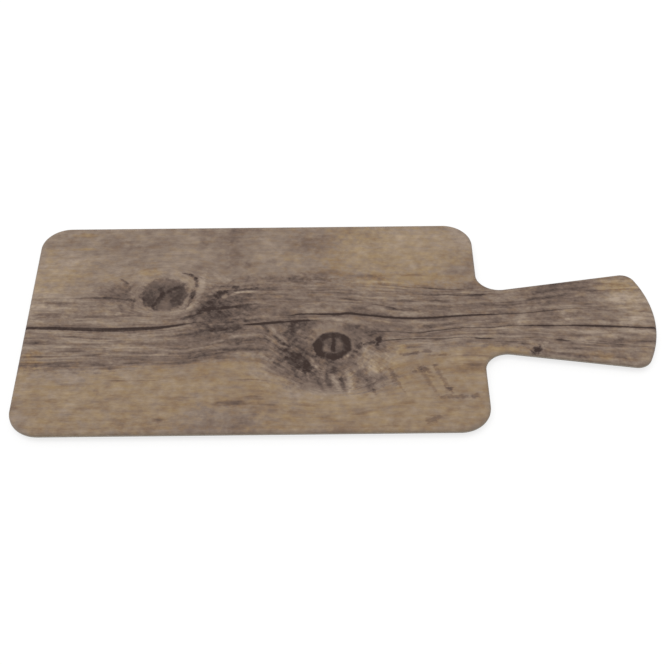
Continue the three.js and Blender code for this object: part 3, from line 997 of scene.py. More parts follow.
# %% The drawing: knots, and places where the fibres are rough or calm
KNOTS = [
    {"Centre": (*FIRST_KNOT, 0), "Radius": 15.4, "Rim Start": 0.5, "Rim Tone": -0.125, "Heart Tone": -0.11,
     "Halo Tone": 0.038, "Ring Tone": 0.015, "Raggedness": 0.2},
    {"Centre": (52, -23, 0), "Radius": 12.2, "Rim Start": 0.6, "Rim Tone": -0.24, "Heart Tone": -0.135,
     "Halo Tone": 0.0, "Ring Tone": 0.0, "Raggedness": 0.07},
]
ROUGH_PLACES = [
    (38, -38, 34, 22, 0.9), (24, -16, 18, 18, 0.6), (76, -30, 14, 24, 0.9), (-24, 14, 22, 17, 0.7, 10),
    (-97, 29, 17, 9, 0.6),
]
CALM_PLACES = [
    (98, 68, 42, 16, 0.4),
]
print(len(KNOTS), "knots,", len(ROUGH_PLACES), "rough and", len(CALM_PLACES), "calm places")

# %% The drawing: broad blotches
BLOTCHES = [
    # The pale left end and the smoky top
    (-140, 50, 16, 22, 0.045), (-127, 27, 17, 7, 0.065), (-136, 12, 16, 8, 0.045), (-80, 9, 8, 4, 0.04),
    (-64, 43, 13, 2.6, -0.065), (-107, 46, 9, 6, 0.03), (-60, 24, 5, 6, -0.035), (3, 32, 5, 4, -0.035),
    (-12, 55, 6, 8, -0.025), (-22, 70, 5, 8, -0.03), (8, 60, 7, 9, 0.025), (66, 77, 10, 6, 0.02),
    (82, 46, 8, 8, 0.03), (-112, 86, 8, 4, -0.04), (-84, 73, 8, 3, -0.02), (-148, 0, 8, 50, 0.025),
    (-138, 77, 10, 8, -0.03), (-100, 77, 8, 5, -0.05), (-87, 77, 5, 4, -0.035), (-72, 76, 10, 4, -0.05),
    (-105, 63, 12, 6, 0.03), (-80, 56, 8, 5, -0.06), (-70, 67, 9, 3, -0.03), (-58, 65, 7, 7, 0.03),
    (-37, 52, 5, 5, -0.04), (-94, 28, 13, 8, -0.075), (-141, 45, 6, 4, -0.035), (1, 90, 6, 5, -0.035),
    (38, 90, 8, 4, -0.03), (-12, 72, 13, 22, -0.03), (-16, 87, 4, 7, -0.06), (-15, 65, 4, 9, -0.05),
    (-5, 55, 3, 3, -0.07, -30), (-38, 87, 2.5, 7, -0.055), (-31, 88, 2.5, 6, -0.055),
    (-8, 90, 3, 4, -0.045), (-37, 76, 3, 4, -0.05), (37, 75, 10, 7, -0.075), (46, 82, 3, 3, -0.065),
    (33, 82, 6, 7, -0.03), (22, 64, 9, 9, 0.03), (10, 42, 4, 3, -0.06), (27, 39.5, 7, 3.5, -0.08),
    (37, 42, 9, 5, -0.06), (-7, 40, 6, 4, -0.05), (48, 45, 9, 6, -0.05), (112, 70, 42, 20, 0.055),
    (143, 71, 7, 9, 0.035), (80, 83, 12, 6, 0.025), (38, 65, 6, 5, -0.035), (16, 40, 11, 3, -0.04),
    (137, 46, 8, 6, -0.03),
    # The weathered band and its edges
    (-112, -20, 36, 14, 0.03), (-122, -11.5, 20, 2.5, -0.035), (-26, -17, 28, 11, -0.055, 12),
    (-60, -34.5, 34, 3.5, -0.05, 2), (-2, -23, 20, 6, -0.05), (-44, -36, 7, 12, -0.03),
    (18, 20, 30, 15, -0.025), (40, 20, 10, 6, 0.03), (85, 27, 11, 9, 0.06), (110, 17, 50, 12, -0.02, -3),
    (80, 7.5, 18, 2.2, -0.04, -8), (100, 14, 16, 3, 0.04, -10), (65, 12, 9, 2.5, -0.035, -8),
    (-110, 2, 12, 7, 0.035), (-66, -13, 24, 5, 0.04), (-42, 0, 7, 4, 0.04, 10), (1, 6, 6, 6, -0.045),
    (-85, -40, 8, 3, -0.035), (-83, -25, 6, 3, -0.04), (-100, -25, 6, 3, 0.035), (-55, -40, 7, 3, -0.03),
    (-112, -33, 12, 5, -0.035, -20), (-86, 1, 8, 2.5, -0.04), (-24, -25, 9, 5, 0.035, 20),
    (-120, 9, 6, 3, 0.03), (-45, -28, 7, 4, -0.035), (50, 9.5, 15, 2.5, 0.04, -5), (-130, -27, 8, 4, -0.02),
    (42, 13, 8, 4, 0.03), (130, 31, 12, 3, -0.03), (148, 30, 5, 6, -0.04), (-25, 3, 17, 6, -0.04, 5),
    (111, -12, 13, 6, -0.06), (128, 0, 16, 5, -0.02), (118, 4, 6, 4, -0.035), (139, 8, 8, 3, -0.03),
    (112, 12, 9, 3, 0.04), (-24, -15, 7, 5, -0.06), (118, 44, 20, 3.5, -0.025), (106, 30.5, 11, 3, 0.045),
    (-52, -10, 8, 3, -0.035), (-74, 35, 4, 4, 0.04), (160, 13, 8, 5, -0.045, 20), (146, 58, 3, 8, -0.04),
    (149, -37, 4, 5, -0.035),
    # The dark patch beside the first knot
    (-24, 13, 18, 14, -0.097, 15), (-27, 22, 8, 8, -0.04), (-21, 34, 4, 5, -0.05),
    (-12, 24, 12, 10, -0.04, 10), (-18, -4, 13, 7, -0.06), (-38, 4, 8, 4, -0.03, 10), (-47, 14, 4, 6, 0.04),
    # The stain round the second knot
    (26, -12, 7, 14, -0.08), (29, -34, 11, 14, -0.15, -20), (35, -52, 8, 7, -0.07), (52, -41, 15, 7, -0.09),
    (46, -54, 9, 7, -0.07, -20), (73, -55, 10, 8, -0.06), (68, -23, 4, 11, -0.06, 10),
    (50, -1.5, 12, 2.2, -0.03, -10), (24, -14, 6, 5, -0.03), (0, -34, 10, 3, -0.035),
    (6, -39, 8, 4, -0.03, -20), (19, -57, 6, 4, -0.035), (72, -37, 4, 5, 0.04), (1, -8, 5, 4, 0.035),
    (98, -3, 19, 3.5, -0.035, -42), (60, -16, 4, 6, -0.045), (65, -50, 6, 10, 0.045),
    (86, -57, 5, 9, -0.045, -15), (82, -38, 10, 3.5, 0.045, 45), (103, -40, 11, 4, -0.025, 52),
    (101, -32, 5, 4, -0.035), (48, -42, 7, 5, -0.04), (19, -43, 6, 5, 0.03), (30, -58, 5, 4, -0.035),
    (77, -14.5, 7, 7, -0.1), (85, -25, 4, 4, -0.08), (52, -7, 10, 3, 0.03), (40, -3, 8, 6, -0.05),
    (63, -31, 3, 7, -0.05), (28, -26, 5, 5, 0.04), (47, -65, 10, 4, 0.04), (74.5, -34, 3, 13, 0.1, 10),
    (79, -47, 3, 6, 0.07, 15), (91, -31, 8, 8, 0.06), (94, -45, 6, 7, -0.05), (3, -44, 9, 4, -0.02),
    # The tan lower part
    (-10, -84, 12, 9, -0.05), (-35, -91, 36, 7, -0.04), (0, -98, 160, 9, -0.02), (148, -66, 4, 8, -0.04),
    (-146, -72, 5, 5, -0.03), (-125, -94, 14, 4, -0.03), (65, -93, 10, 4, -0.03), (12, -91, 8, 4, 0.03),
    (-140, -74, 8, 5, -0.03), (-62, -87, 5, 9, -0.04), (-30, -76, 5, 5, -0.06), (70, -79, 10, 6, -0.03),
    (92, -90, 9, 5, 0.025), (-107, -62, 9, 5, 0.045), (-62, -60, 13, 6, 0.035), (12, -77, 8, 7, -0.035),
    (64, -70, 4, 12, 0.03, -10), (134, -46, 10, 3, -0.03), (-33, -56, 10, 5, 0.025), (8, -55, 9, 4, 0.03),
    (28, -76, 6, 5, -0.03), (-52, -72, 6, 5, -0.03), (100, -68, 10, 6, 0.025), (140, -55, 10, 6, 0.025),
    (112, -54, 7, 8, -0.025),
    # The handle
    (194, 19, 9, 12, -0.07), (223, 13, 9, 6, -0.075), (210, 30, 18, 6, -0.04, 8), (172, 13, 10, 4, -0.03),
    (177, 0, 3, 7, 0.05, -20), (168, -10, 4, 2.5, 0.05), (206, 5, 6, 6, 0.09),
    (197, -13, 2.2, 8, 0.045, -30), (181, -23, 8, 4, 0.075), (192, 10, 5, 4, -0.03), (161, -1, 8, 3, -0.05),
    (228, -16, 7, 4, 0.09), (254, -4, 6, 3, 0.02), (256, 27, 5, 3, 0.04), (243, -22, 9, 4, -0.075),
    (260, 0, 4, 5, -0.03), (172, 20, 8, 2.5, 0.03), (172, -17, 8, 4, -0.045), (205, -19, 9, 4, -0.045),
    (235, 8, 4, 3, 0.04), (240, 22, 6, 4, 0.03), (180, 0, 5, 5, 0.03), (257, -22, 4, 12, 0.035),
    (190, 26, 18, 3, -0.03, 9), (254, 14, 8, 5, 0.05), (228, -35, 12, 4, 0.03), (200, 0, 5, 4, -0.03),
    (238, -3, 11, 4, 0.04), (248, -30, 13, 11, 0.045),
]
print(len(BLOTCHES), "blotches")

# %% The drawing: places that are warmer or greyer
WARM_BLOTCHES = [
    (-132, 46, 20, 9, 0.9), (-95, 43, 10, 4, 0.8), (-73, 48, 8, 3, 1.5), (-120, 87, 10, 2, 1.4),
    (-142, 68, 4, 9, 0.9), (-119, 72.5, 10, 1.2, 1.2), (-135, 31, 12, 3, 0.7), (25, 63, 12, 5, 0.6),
    (100, 66, 50, 30, 1.2), (112, 40, 38, 5, 0.7), (112, 72, 28, 6, -0.5), (137, 47, 8, 5, -0.8),
    (244, 31, 12, 6, 1.5), (254, 14, 8, 16, 0.5), (225, -34, 10, 3, 0.8), (165, -28, 13, 3, 0.9),
    (-140, -28, 7, 3, 0.9), (-138, -35.5, 16, 1, 0.9), (138, -44, 12, 4, 0.5), (-18, -86, 24, 9, -1.0),
    (-122, -47, 18, 4.5, -0.9), (-34, -65, 5, 2.5, -0.7), (-114, -78, 5, 3, -0.6), (46, -56, 14, 8, -1.0),
    (77, -56, 9, 8, -0.9), (40, -63, 26, 5, -0.7), (92, -32, 8, 10, 0.8), (113, -28, 9, 3, -0.8),
    (12, -46, 10, 6, -0.8), (-78, -45, 7, 4, -0.7), (-45, -43, 6, 4, -0.6), (228, -38, 15, 4, 0.7),
    (-144, -38, 4, 10, 0.7), (-82, -21, 6, 4, 0.6), (-114, 35, 6, 4, -0.4), (-96, 46, 6, 4, -0.5),
    (-118, 58, 7, 5, 0.3), (93, -34, 6, 5, -0.7), (110, -36, 7, 3, 0.4), (-28, -38, 14, 4, 0.4, 65),
    (-43, -74, 6, 7, 0.4), (75, -32, 4, 5, 0.4), (-146, 36, 4, 6, 0.6), (133, -68, 12, 4, -0.5),
    (85, -95, 20, 3, 0.6), (-40, -95, 16, 3, -0.5), (-140, -88, 6, 6, -0.5), (-100, -88, 8, 4, -0.4),
    (-33, -78, 8, 5, -0.6), (10, -62, 7, 5, 0.5), (40, -70, 8, 5, 0.4), (80, -42, 5, 9, 0.4, -30),
    (55, 52, 6, 8, 0.4), (67, 42, 5, 4, -0.4), (104, 53, 10, 4, -0.4), (144, 82, 6, 9, -0.8),
    (255, -32, 6, 8, 0.5), (55, -8, 6, 4, -0.4), (118, -27, 7, 4, -0.4), (-88, 33, 7, 5, 0.5),
    (76, 37, 7, 3, 0.4), (102, -33, 9, 4, -0.6), (25, -55, 6, 4, -0.5), (-145, -78, 5, 16, -0.5),
    (65, 86, 9, 6, 0.5), (32, 62, 7, 7, -0.5), (66, -55, 6, 8, 0.8), (80, -42, 6, 6, 0.6),
    (88, -53, 5, 6, -0.7), (27, -70, 4, 5, -0.8), (-112, -52, 8, 4, -0.7), (-141, -34, 7, 5, 0.5),
    (115, 88, 30, 4, -0.4), (120, 33, 22, 2.5, 0.5),
]
print(len(WARM_BLOTCHES), "warm and grey places")

# %% The drawing: crisp spots
SPOTS = [
    # The first knot: two dark halves, a fork between them, and its bark
    (-70, 22, 4, 8, -0.085), (-52.3, 23.5, 4.5, 7, -0.07), (-65, 19, 8, 1.5, -0.11, 62),
    (-62, 29, 5, 1.8, -0.11, 95), (-55, 31, 8, 1.6, -0.11, 30), (-58, 38.5, 9, 3.5, 0.06),
    (-59.5, 15.5, 3.2, 3.5, 0.05), (-70.5, 26, 5, 0.8, 0.04, -65), (-54.5, 24, 5, 0.8, 0.04, 45),
    (-46.5, 46.4, 3, 0.9, -0.16, -14), (-42.6, 44, 3.4, 1.1, -0.16, -42),
    (-40.2, 40.6, 2.6, 1.2, -0.17, -62), (-39.4, 35.6, 2.6, 1.3, -0.15, -88),
    (-41.2, 27, 4, 1.6, -0.17, 84), (-42.6, 20.5, 4.5, 1.3, -0.15, 76), (-45, 14.5, 3.6, 1.1, -0.1, 58),
    (-36.5, 32, 15, 2.4, 0.08, 84), (-41, 13.5, 5, 2, 0.06, 40), (-25, 43, 8, 1.4, 0.05, -50),
    (-19, 40, 6, 1.2, 0.04, -50), (-88.5, 39.5, 3.5, 0.9, -0.12, -40), (-82.5, 21.5, 4, 1.3, -0.1, -8),
    (-85, 31, 2.2, 1.4, -0.08, 60), (-88, 13.5, 1.5, 3.5, -0.06, 20), (-81, 16, 1, 5, -0.05),
    (-90, 8.3, 2.2, 1.3, 0.09), (-96, 8, 2, 1.2, 0.06),
    # The dark patch
    (-28, 16, 6.5, 4.5, -0.08, 10), (-26, 25, 3.6, 3, -0.1), (-21.5, 28, 3, 1.8, -0.14, 10),
    (-13.5, 33, 2.2, 1.6, -0.13), (-32, 11, 6, 2.2, -0.12, 12), (-43, 5, 5, 1, -0.12, 20),
    (-40, 2, 3, 1.6, -0.06, 40), (-26, -7, 8, 2, -0.05, 5), (-10, -6.5, 5, 2, -0.07),
    (-20, 23.6, 1.8, 1.6, 0.14, 20), (-13, 26.6, 5, 1, 0.13, 24), (-4.5, 28.4, 6, 0.9, 0.13, 4),
    (-8, 30.4, 7, 0.9, -0.1, 6), (0, 31.5, 2.5, 1.5, -0.08), (12, 31, 3.5, 1.5, -0.06),
    # The second knot: the slit in its heart, its thick side and its open foot
    (52.4, -23.5, 1.4, 7.5, -0.2), (42.5, -26, 2.6, 7, -0.1, 12), (51, -16.5, 1.3, 1, 0.08),
    (47.2, -27.5, 2.4, 4, 0.13, -10), (56.3, -19.5, 1.6, 3.6, 0.04), (60.5, -15.5, 3, 2, -0.06, -45),
    (53.5, -34, 4, 2.4, -0.12), (60.5, -31.5, 1.5, 2.5, 0.13, -30),
    # Smears that run from the second knot
    (33.5, -39, 3.5, 2.6, -0.12), (34, -46, 3, 1.8, -0.11, 20), (28.5, -32, 3.5, 3, -0.1),
    (23, -34, 3.5, 2, -0.08, 20), (27, -40, 3, 3, -0.06), (35.5, -41.5, 2.8, 4.5, -0.06, -10),
    (26, -6.5, 3.2, 4.5, -0.1, -10), (31, -2.5, 5, 1.4, -0.1, -8), (33, -7, 2.5, 2.5, -0.06),
    (8, -6.5, 3.6, 1.4, -0.12, -60), (19, -11.5, 3.4, 1.8, -0.1, -30), (16, -16.5, 4, 1.2, -0.08, -40),
    (20.5, -21, 4.5, 1.3, -0.11, -30), (20, -26, 3.5, 1.2, -0.09, -35), (30, -9, 1.6, 3.5, 0.1, -25),
    (12.5, -6.5, 5, 1.5, 0.07, -68), (17, -14, 6, 1.1, 0.05, -45), (21, -23.5, 3, 1, 0.1, -25),
    (37, -24, 1.2, 4, 0.05), (40.5, -40, 6, 2, 0.12, -60), (45.5, -48, 6, 1.4, 0.09, 80),
    (53, -54.5, 8, 1.6, 0.12, -68), (62, -53, 8, 2.2, 0.1, -85), (69, -39, 8, 1.6, 0.07, -72),
    (44, -59, 4, 1.4, -0.07, -60), (49, -55, 5, 1.4, -0.08, -75), (58, -57, 6, 1.4, -0.1, -78),
    (69.5, -53, 3, 5, -0.05, 10), (75.5, -57, 3, 5.5, -0.08, 10), (82.5, -52, 3.5, 5.5, -0.07, 20),
    (77.5, -63, 3, 1, -0.1, -70), (53, -44.5, 2.2, 2, -0.11), (69.5, -24, 3.5, 1.4, -0.12, 75),
    (82, -19, 3.6, 1.8, -0.2, 66), (75.5, -21.5, 3.5, 1.3, -0.12, 12), (77, -11, 3.5, 3, -0.07),
    (68.5, -5.5, 1.8, 2, -0.09, -40), (66, -31, 2.6, 3.4, -0.07),
    # Scratches and flecks in the tan, and a few beyond it
    (121, -52, 11, 1.5, -0.085, -68), (125, -61.5, 2.2, 1.8, -0.13), (112, -54, 11, 1.5, -0.06, -66),
    (94, -58, 7, 1, -0.07, -68), (90, -50, 6, 1.6, -0.085, -82), (110, -44.5, 2.6, 2.2, -0.14),
    (104, -46.5, 1.8, 1.1, -0.1), (113, -47.5, 1.8, 1, -0.08), (114.5, -51, 1.6, 1.1, -0.07),
    (117.5, -41, 2, 1.1, -0.09), (98.5, -31.6, 3.6, 1.3, -0.12, 5), (105, -30.2, 2.4, 1.3, -0.12, 5),
    (112.5, -28.8, 2.6, 1.6, -0.1), (123.5, -32.3, 3.2, 1, -0.1), (116, -32.5, 3, 0.9, -0.06),
    (128, -68.5, 8, 1.7, -0.11), (140.5, -68, 3, 2, -0.11), (113, -87, 5, 2.4, -0.095, 30),
    (184, -28.2, 3.4, 2.2, -0.3, 40), (181.5, -31, 1.8, 1.2, -0.1, 30), (86, 58, 2.4, 2, -0.06),
    (239, -19, 2.2, 3, -0.07), (78, 42.5, 8, 1.6, -0.06), (85, 40, 2.5, 3, -0.05),
    # Pale chips in the handle
    (175, -3.8, 1.4, 1.6, 0.07), (190, -22, 1.4, 1.3, 0.09), (180, -21, 1.8, 1.3, 0.07),
    (205, 5, 1.8, 1.3, 0.09), (207, -1, 1.5, 1.2, 0.07), (193, 15.5, 1.8, 1.6, 0.07),
    (215, -19.5, 3, 1.2, 0.07, 10),
]
print(len(SPOTS), "spots")

# %% The drawing: streaks along the grain
STREAKS = [
    # Left of the knots
    (-128, 19, 17, 1.2, -0.07), (-104, 23.2, 13, 1.1, -0.15), (-119, 27, 8, 0.9, -0.05),
    (-140, 8, 12, 1.1, -0.08), (-110, 5.5, 11, 1, -0.09), (-75, 6, 16, 1, -0.09),
    (-143, -17.3, 9, 1.8, -0.13), (-125, -19.5, 10, 1.2, -0.07), (-117, -12.6, 6, 1, -0.1),
    (-101, -14.5, 10, 1, -0.1), (-104, -20, 7, 0.9, -0.06), (-115, -25, 6, 1.5, -0.08),
    (-106, -29.4, 3, 1, -0.14), (-100, -29, 3.5, 0.9, -0.12), (-137, -30, 8, 0.9, -0.06),
    (-80, -32.5, 18, 1.8, -0.08), (-132, -37.3, 15, 1, -0.07), (-130, -41.8, 9, 0.9, -0.07),
    (-97, -38, 6, 1, -0.12), (-75, -36.5, 7, 1, -0.08), (-92, -40.8, 7, 1, -0.08), (-115, 1, 20, 2, 0.02),
    (-75, -22.5, 20, 0.9, 0.05), (-61, -29.6, 16, 0.9, 0.1), (-125, -31.5, 24, 0.7, 0.05),
    (-128, -34.2, 22, 0.6, 0.05), (-122, -36, 26, 0.6, -0.04), (-118, -39.5, 28, 0.8, -0.03),
    (-102, -22, 8, 0.7, 0.06), (-123, -21.7, 7, 0.7, 0.06), (-34, -23.7, 14, 1.3, 0.08),
    # Between the knots
    (-20, 13, 17, 1.1, -0.14), (-30, -8.6, 20, 1.5, -0.08), (-35, -15.5, 12, 1.2, -0.05),
    (-10, -18.3, 17, 1.5, -0.08), (-45, -24.3, 8, 1, -0.06), (-26, -29.5, 9, 1.5, -0.07),
    (-8, -26, 20, 1.5, -0.1), (-40, -32.5, 15, 1.5, -0.05), (-45, -36.5, 10, 1.2, -0.06),
    (-10, -23.5, 22, 1, 0.05), (-4, -13, 9, 1.2, 0.05), (-44, -28.5, 9, 1.2, -0.06),
    (-14, -15.5, 12, 1.3, 0.05), (-5, -29.5, 10, 1.3, 0.05),
    # Above the second knot, towards the handle
    (88, 12.8, 9, 1.1, -0.13, -10), (103, 9.8, 5, 1, -0.09), (100, 17.6, 7, 1.3, -0.1),
    (122, 17, 7, 1.1, -0.1), (136, 23, 19, 1.2, -0.12), (147, 22.6, 8, 1.5, -0.1),
    (124, 29.3, 14, 1, -0.11), (66, 19.8, 9, 1.1, -0.1, -8), (146, 25.5, 9, 0.8, 0.08),
    (94, 21, 20, 0.9, 0.08), (85, 36.2, 15, 0.8, 0.06), (75, 41, 14, 2.2, -0.06), (106, 43, 8, 1.1, -0.07),
    (72, 36, 13, 0.8, 0.06), (96, 32, 12, 1, -0.06), (70, 11.5, 5, 1.3, -0.07, -8),
    (91, 26.3, 7, 1.1, -0.07, -8), (125, 23.5, 8, 1.4, -0.09),
    # Under the neck and in the handle
    (140, -33.8, 13, 0.8, -0.06), (142, -37, 12, 0.9, 0.05), (143, -41, 6, 0.8, -0.07),
    (108, -22.5, 12, 1.2, 0.06), (160, -23.5, 9, 0.8, -0.06), (104, -24, 6, 1.6, -0.08),
    (128, -24, 9, 1.2, -0.07), (168, -21.7, 5, 1.1, -0.1), (177, -24, 4, 1, -0.1), (185, 18, 3, 1.5, -0.1),
    (196, 20, 5, 1.8, -0.085), (211, 22.5, 7, 1.4, -0.07), (198, 27, 9, 1.4, -0.07),
    (229, 25.5, 6, 1.1, -0.07), (172, 16, 9, 0.8, -0.09), (210, -28, 7, 0.9, -0.11),
    (253, -26.8, 8, 0.8, -0.1), (257, -22, 5, 0.9, -0.1), (206, -33.5, 9, 0.9, -0.11),
    (201, -20.5, 5, 1.2, -0.08), (237, -35.5, 3.5, 0.8, -0.1), (228, -30, 8, 0.8, -0.06),
    (226, -13.5, 9, 0.8, 0.08),
    # The pale end of the handle
    (252, 35, 17, 3, 0.07), (252, 29, 19, 2.6, 0.09), (252, 23.5, 17, 2, 0.08), (254, 18, 18, 2, 0.08),
    (252, 14, 16, 1.3, 0.09), (256, 8.5, 14, 2, 0.1), (255, 3, 13, 1.3, 0.09), (252, -1, 11, 2, 0.13),
    (248, -5, 14, 1, 0.07), (254, -13, 12, 1.4, 0.05),
    # Brown dashes in the tan
    (-123, -68.5, 8, 1.5, -0.05), (-103, -75.5, 7, 1.5, -0.05), (-87, -67, 4, 2.4, -0.04),
    (-73, -79, 9, 2.4, -0.05), (-80, -87, 6, 3, -0.04), (-56, -85, 3, 1.4, -0.1), (-46, -68, 8, 2, -0.05),
    (-113, -55, 8, 1.5, -0.05), (-84, -52, 6, 0.7, -0.11), (-66, -52, 8, 0.5, -0.07),
    (2, -53, 10, 0.6, -0.08), (-13, -72.5, 9, 1.8, -0.12), (-3, -70, 14, 5, -0.04), (2, -68, 5, 1.3, -0.08),
    (10, -73.5, 5, 1, -0.08), (13, -79, 4, 1.6, -0.05), (25, -80, 4, 1.3, -0.05), (34, -74.5, 5, 1, -0.05),
    (45, -84, 4, 2, -0.05), (53, -88, 6, 1.4, -0.04), (97, -73, 7, 1.1, -0.06), (128, -80, 7, 1.4, -0.05),
    (72, -80.5, 7, 1, -0.05), (138, -45, 11, 3, -0.05),
]
print(len(STREAKS), "streaks")

# %% [markdown]
# ## The print: from tone to colour
# One lightness runs through all of the layers, and each cell adds its nodes to the one material. At the end
# two colour ramps turn the lightness into ink: one for the silvery weathered wood and one for the warmer tan
# below it, mixed by how warm the place is. A satin glaze with a faint orange peel lies over the whole.

# %% Start the print with each point's place on the paper and in the grain
MOTTLE_TURN = 0.6  # radians; noise on turned paper doesn't line up with the grain
SLANT_TURN = 0.75
CRUMBS = {"length": 3.6, "width": 3.6, "seed": 8.2}
ROUND_FRAY = 0.8  # how far crumbs fray the edge of a mark, in half sizes

printed = bpy.data.materials.new("wood_print")
wood, glaze = material_wiring(printed)


def turned_paper(angle):
    return wood.add("ShaderNodeVectorRotate", {"Vector": paper, "Angle": angle}).outputs["Vector"]


def nodes_with(step):
    return f"wood print with {step}: {len(printed.node_tree.nodes)} nodes"


paper = wood.add("ShaderNodeAttribute", attribute_name="print").outputs["Vector"]
paper_x, paper_y, pulled = wood.add("ShaderNodeSeparateXYZ", {"Vector": paper}).outputs
share_x = wood.remap(paper_x, PAPER_LEFT, PAPER_RIGHT)
guides, height = grain_flow(wood, share_x, paper_y)
grain = wood.combine(paper_x, height)
mottled = turned_paper(MOTTLE_TURN)
slanted = turned_paper(SLANT_TURN)
crumbs = fibres(wood, mottled, **CRUMBS)
round_edge = wood.math("MULTIPLY", crumbs, ROUND_FRAY)
print(nodes_with("its grain"))

# %% The weathered band, and the tan below it
BAND_TONE = 0.457
FIELD_TONE = 0.503
TAN_LIFT = 0.02
BAND_FIBRES = {"length": 30.0, "width": 2.4, "seed": 1.3}
BAND_FRAY = 7.0  # mm that these fibres move the edges of the band
BAND_CRUMBLE = 6.0  # mm that crumbs move them
BAND_SOFTNESS = 0.03  # of the height of the paper
TAN_SOFTNESS = 0.02

broken = wood.math("MULTIPLY_ADD", fibres(wood, grain, **BAND_FIBRES), BAND_FRAY, paper_y)
broken = wood.math("MULTIPLY_ADD", crumbs, BAND_CRUMBLE, broken)
broken = wood.remap(broken, PAPER_LOW, PAPER_HIGH)
under_upper = wood.math("SUBTRACT", paper_curve(wood, share_x, BAND_UPPER), broken)
over_lower = wood.math("SUBTRACT", broken, paper_curve(wood, share_x, BAND_LOWER))
nearer = wood.math("MINIMUM", under_upper, over_lower)
inside_band = wood.remap(nearer, -BAND_SOFTNESS, BAND_SOFTNESS, smooth=True)
in_tan = wood.remap(over_lower, TAN_SOFTNESS, -TAN_SOFTNESS, smooth=True)
tone = wood.remap(inside_band, 0.0, 1.0, FIELD_TONE, BAND_TONE)
tone = wood.math("MULTIPLY_ADD", in_tan, TAN_LIFT, tone)
print(nodes_with("the band"))

# %% Knots, and masks for the fibres round them
ROUGH_SOFTNESS = 0.7
CALM_SOFTNESS = 1.0
FIBRES_IN_KNOT = 0.2  # share of the straight fibres that is left in a knot or a rough place

cover = 0.0
for knot in KNOTS:
    drawn = place_group(wood, KNOT, {**knot, "Place": paper, "Crumbs": crumbs})
    tone = wood.math("ADD", tone, drawn["Tone"])
    cover = wood.math("MAXIMUM", cover, drawn["Cover"])
rough = add_marks(wood, 0.0, ROUGH_PLACES, paper_x, paper_y, round_edge, ROUGH_SOFTNESS)
rough = wood.add("ShaderNodeClamp", {"Value": rough}).outputs["Result"]
clear = wood.remap(wood.math("MAXIMUM", cover, rough), 0.0, 1.0, 1.0, FIBRES_IN_KNOT)
in_band = wood.math("MULTIPLY", inside_band, clear)
calm = add_marks(wood, inside_band, CALM_PLACES, paper_x, paper_y, round_edge, CALM_SOFTNESS)
off_band = wood.math("MAXIMUM", wood.math("SUBTRACT", 1.0, calm), 0.0)
print(nodes_with("knots"))

# %% Where straight fibres start to waver
STRAIGHT_UNTIL = (-80.0, -40.0)  # x between which they start
SWAY = (0.8, 2.2)  # mm that they sway, before and after
SWAY_NOISE = {"length": 22.0, "width": 9.0, "seed": 11.3}

wavering = wood.remap(paper_x, *STRAIGHT_UNTIL)
sway = wood.remap(wavering, 0.0, 1.0, *SWAY)
straight = wood.math("MULTIPLY", inside_band, wood.math("SUBTRACT", 1.0, wavering))
blotchy = wood.math("SUBTRACT", 1.0, straight)
knotty = wood.math("MULTIPLY", in_band, wavering)
wave = wood.math("MULTIPLY_ADD", fibres(wood, paper, **SWAY_NOISE), sway, height)
wavy = wood.combine(paper_x, wave)
print(nodes_with("wavering fibres"))

# %% Layers of fibres
def changing(before, after):
    """A strength that changes where the fibres start to waver."""
    return wood.remap(wavering, 0.0, 1.0, before, after)


def add_fibres(tone, layers):
    """Adds layers of noise: place, length and width in mm, seed, strength, and a mask or None."""
    for place, length, width, seed, strength, mask in layers:
        if mask is not None:
            strength = wood.math("MULTIPLY", mask, strength)
        tone = wood.math("MULTIPLY_ADD", fibres(wood, place, length, width, seed), strength, tone)
    return tone


tone = add_fibres(tone, [
    (wavy, 50.0, 6.0, 0.0, 0.11, in_band),
    (wavy, 26.0, 2.8, 3.3, changing(0.13, 0.095), in_band),
    (wavy, 9.0, 1.2, 5.1, changing(0.05, 0.02), in_band),
    (wavy, 14.0, 4.0, 23.1, 0.095, knotty),
    (mottled, 8.0, 7.0, 21.7, 0.045, blotchy),
    (mottled, 2.6, 2.0, 18.4, 0.06, in_band),
    (wavy, 16.0, 3.4, 9.4, 0.05, off_band),
    (wavy, 60.0, 2.6, 17.3, 0.025, off_band),
    (mottled, 5.0, 5.5, 2.9, 0.05, None),
    (mottled, 20.0, 26.0, 12.5, 0.07, None),
    (slanted, 7.0, 2.2, 6.4, 0.12, rough),
    (mottled, 3.4, 3.0, 15.2, 0.1, rough),
    (grain, 3.6, 0.9, 7.7, changing(0.045, 0.028), None),
])
print(nodes_with("fibres"))

# %% Blotches, spots and streaks
LONG_EDGE = {"length": 10.0, "width": 1.6, "seed": 3.7}
LONG_FRAY = 0.7
TORN_EDGE = {"length": 2.4, "width": 1.2, "seed": 16.6}
TORN_FRAY = 0.8
BLOTCH_SOFTNESS = 1.0
SPOT_SOFTNESS = 0.6
STREAK_SOFTNESS = 0.7

long_edge = wood.math("MULTIPLY", fibres(wood, grain, **LONG_EDGE), LONG_FRAY)
torn_edge = wood.math("MULTIPLY_ADD", fibres(wood, grain, **TORN_EDGE), TORN_FRAY, round_edge)
streaks_on_grain = [(x, grain_height(x, y), *rest) for x, y, *rest in STREAKS]
tone = add_marks(wood, tone, BLOTCHES, paper_x, paper_y, round_edge, BLOTCH_SOFTNESS)
tone = add_marks(wood, tone, SPOTS, paper_x, paper_y, torn_edge, SPOT_SOFTNESS)
tone = add_marks(wood, tone, streaks_on_grain, paper_x, wave, long_edge, STREAK_SOFTNESS)
print(nodes_with("marks"))

# %% Cracks
CRACK_WOBBLE = 0.3  # mm


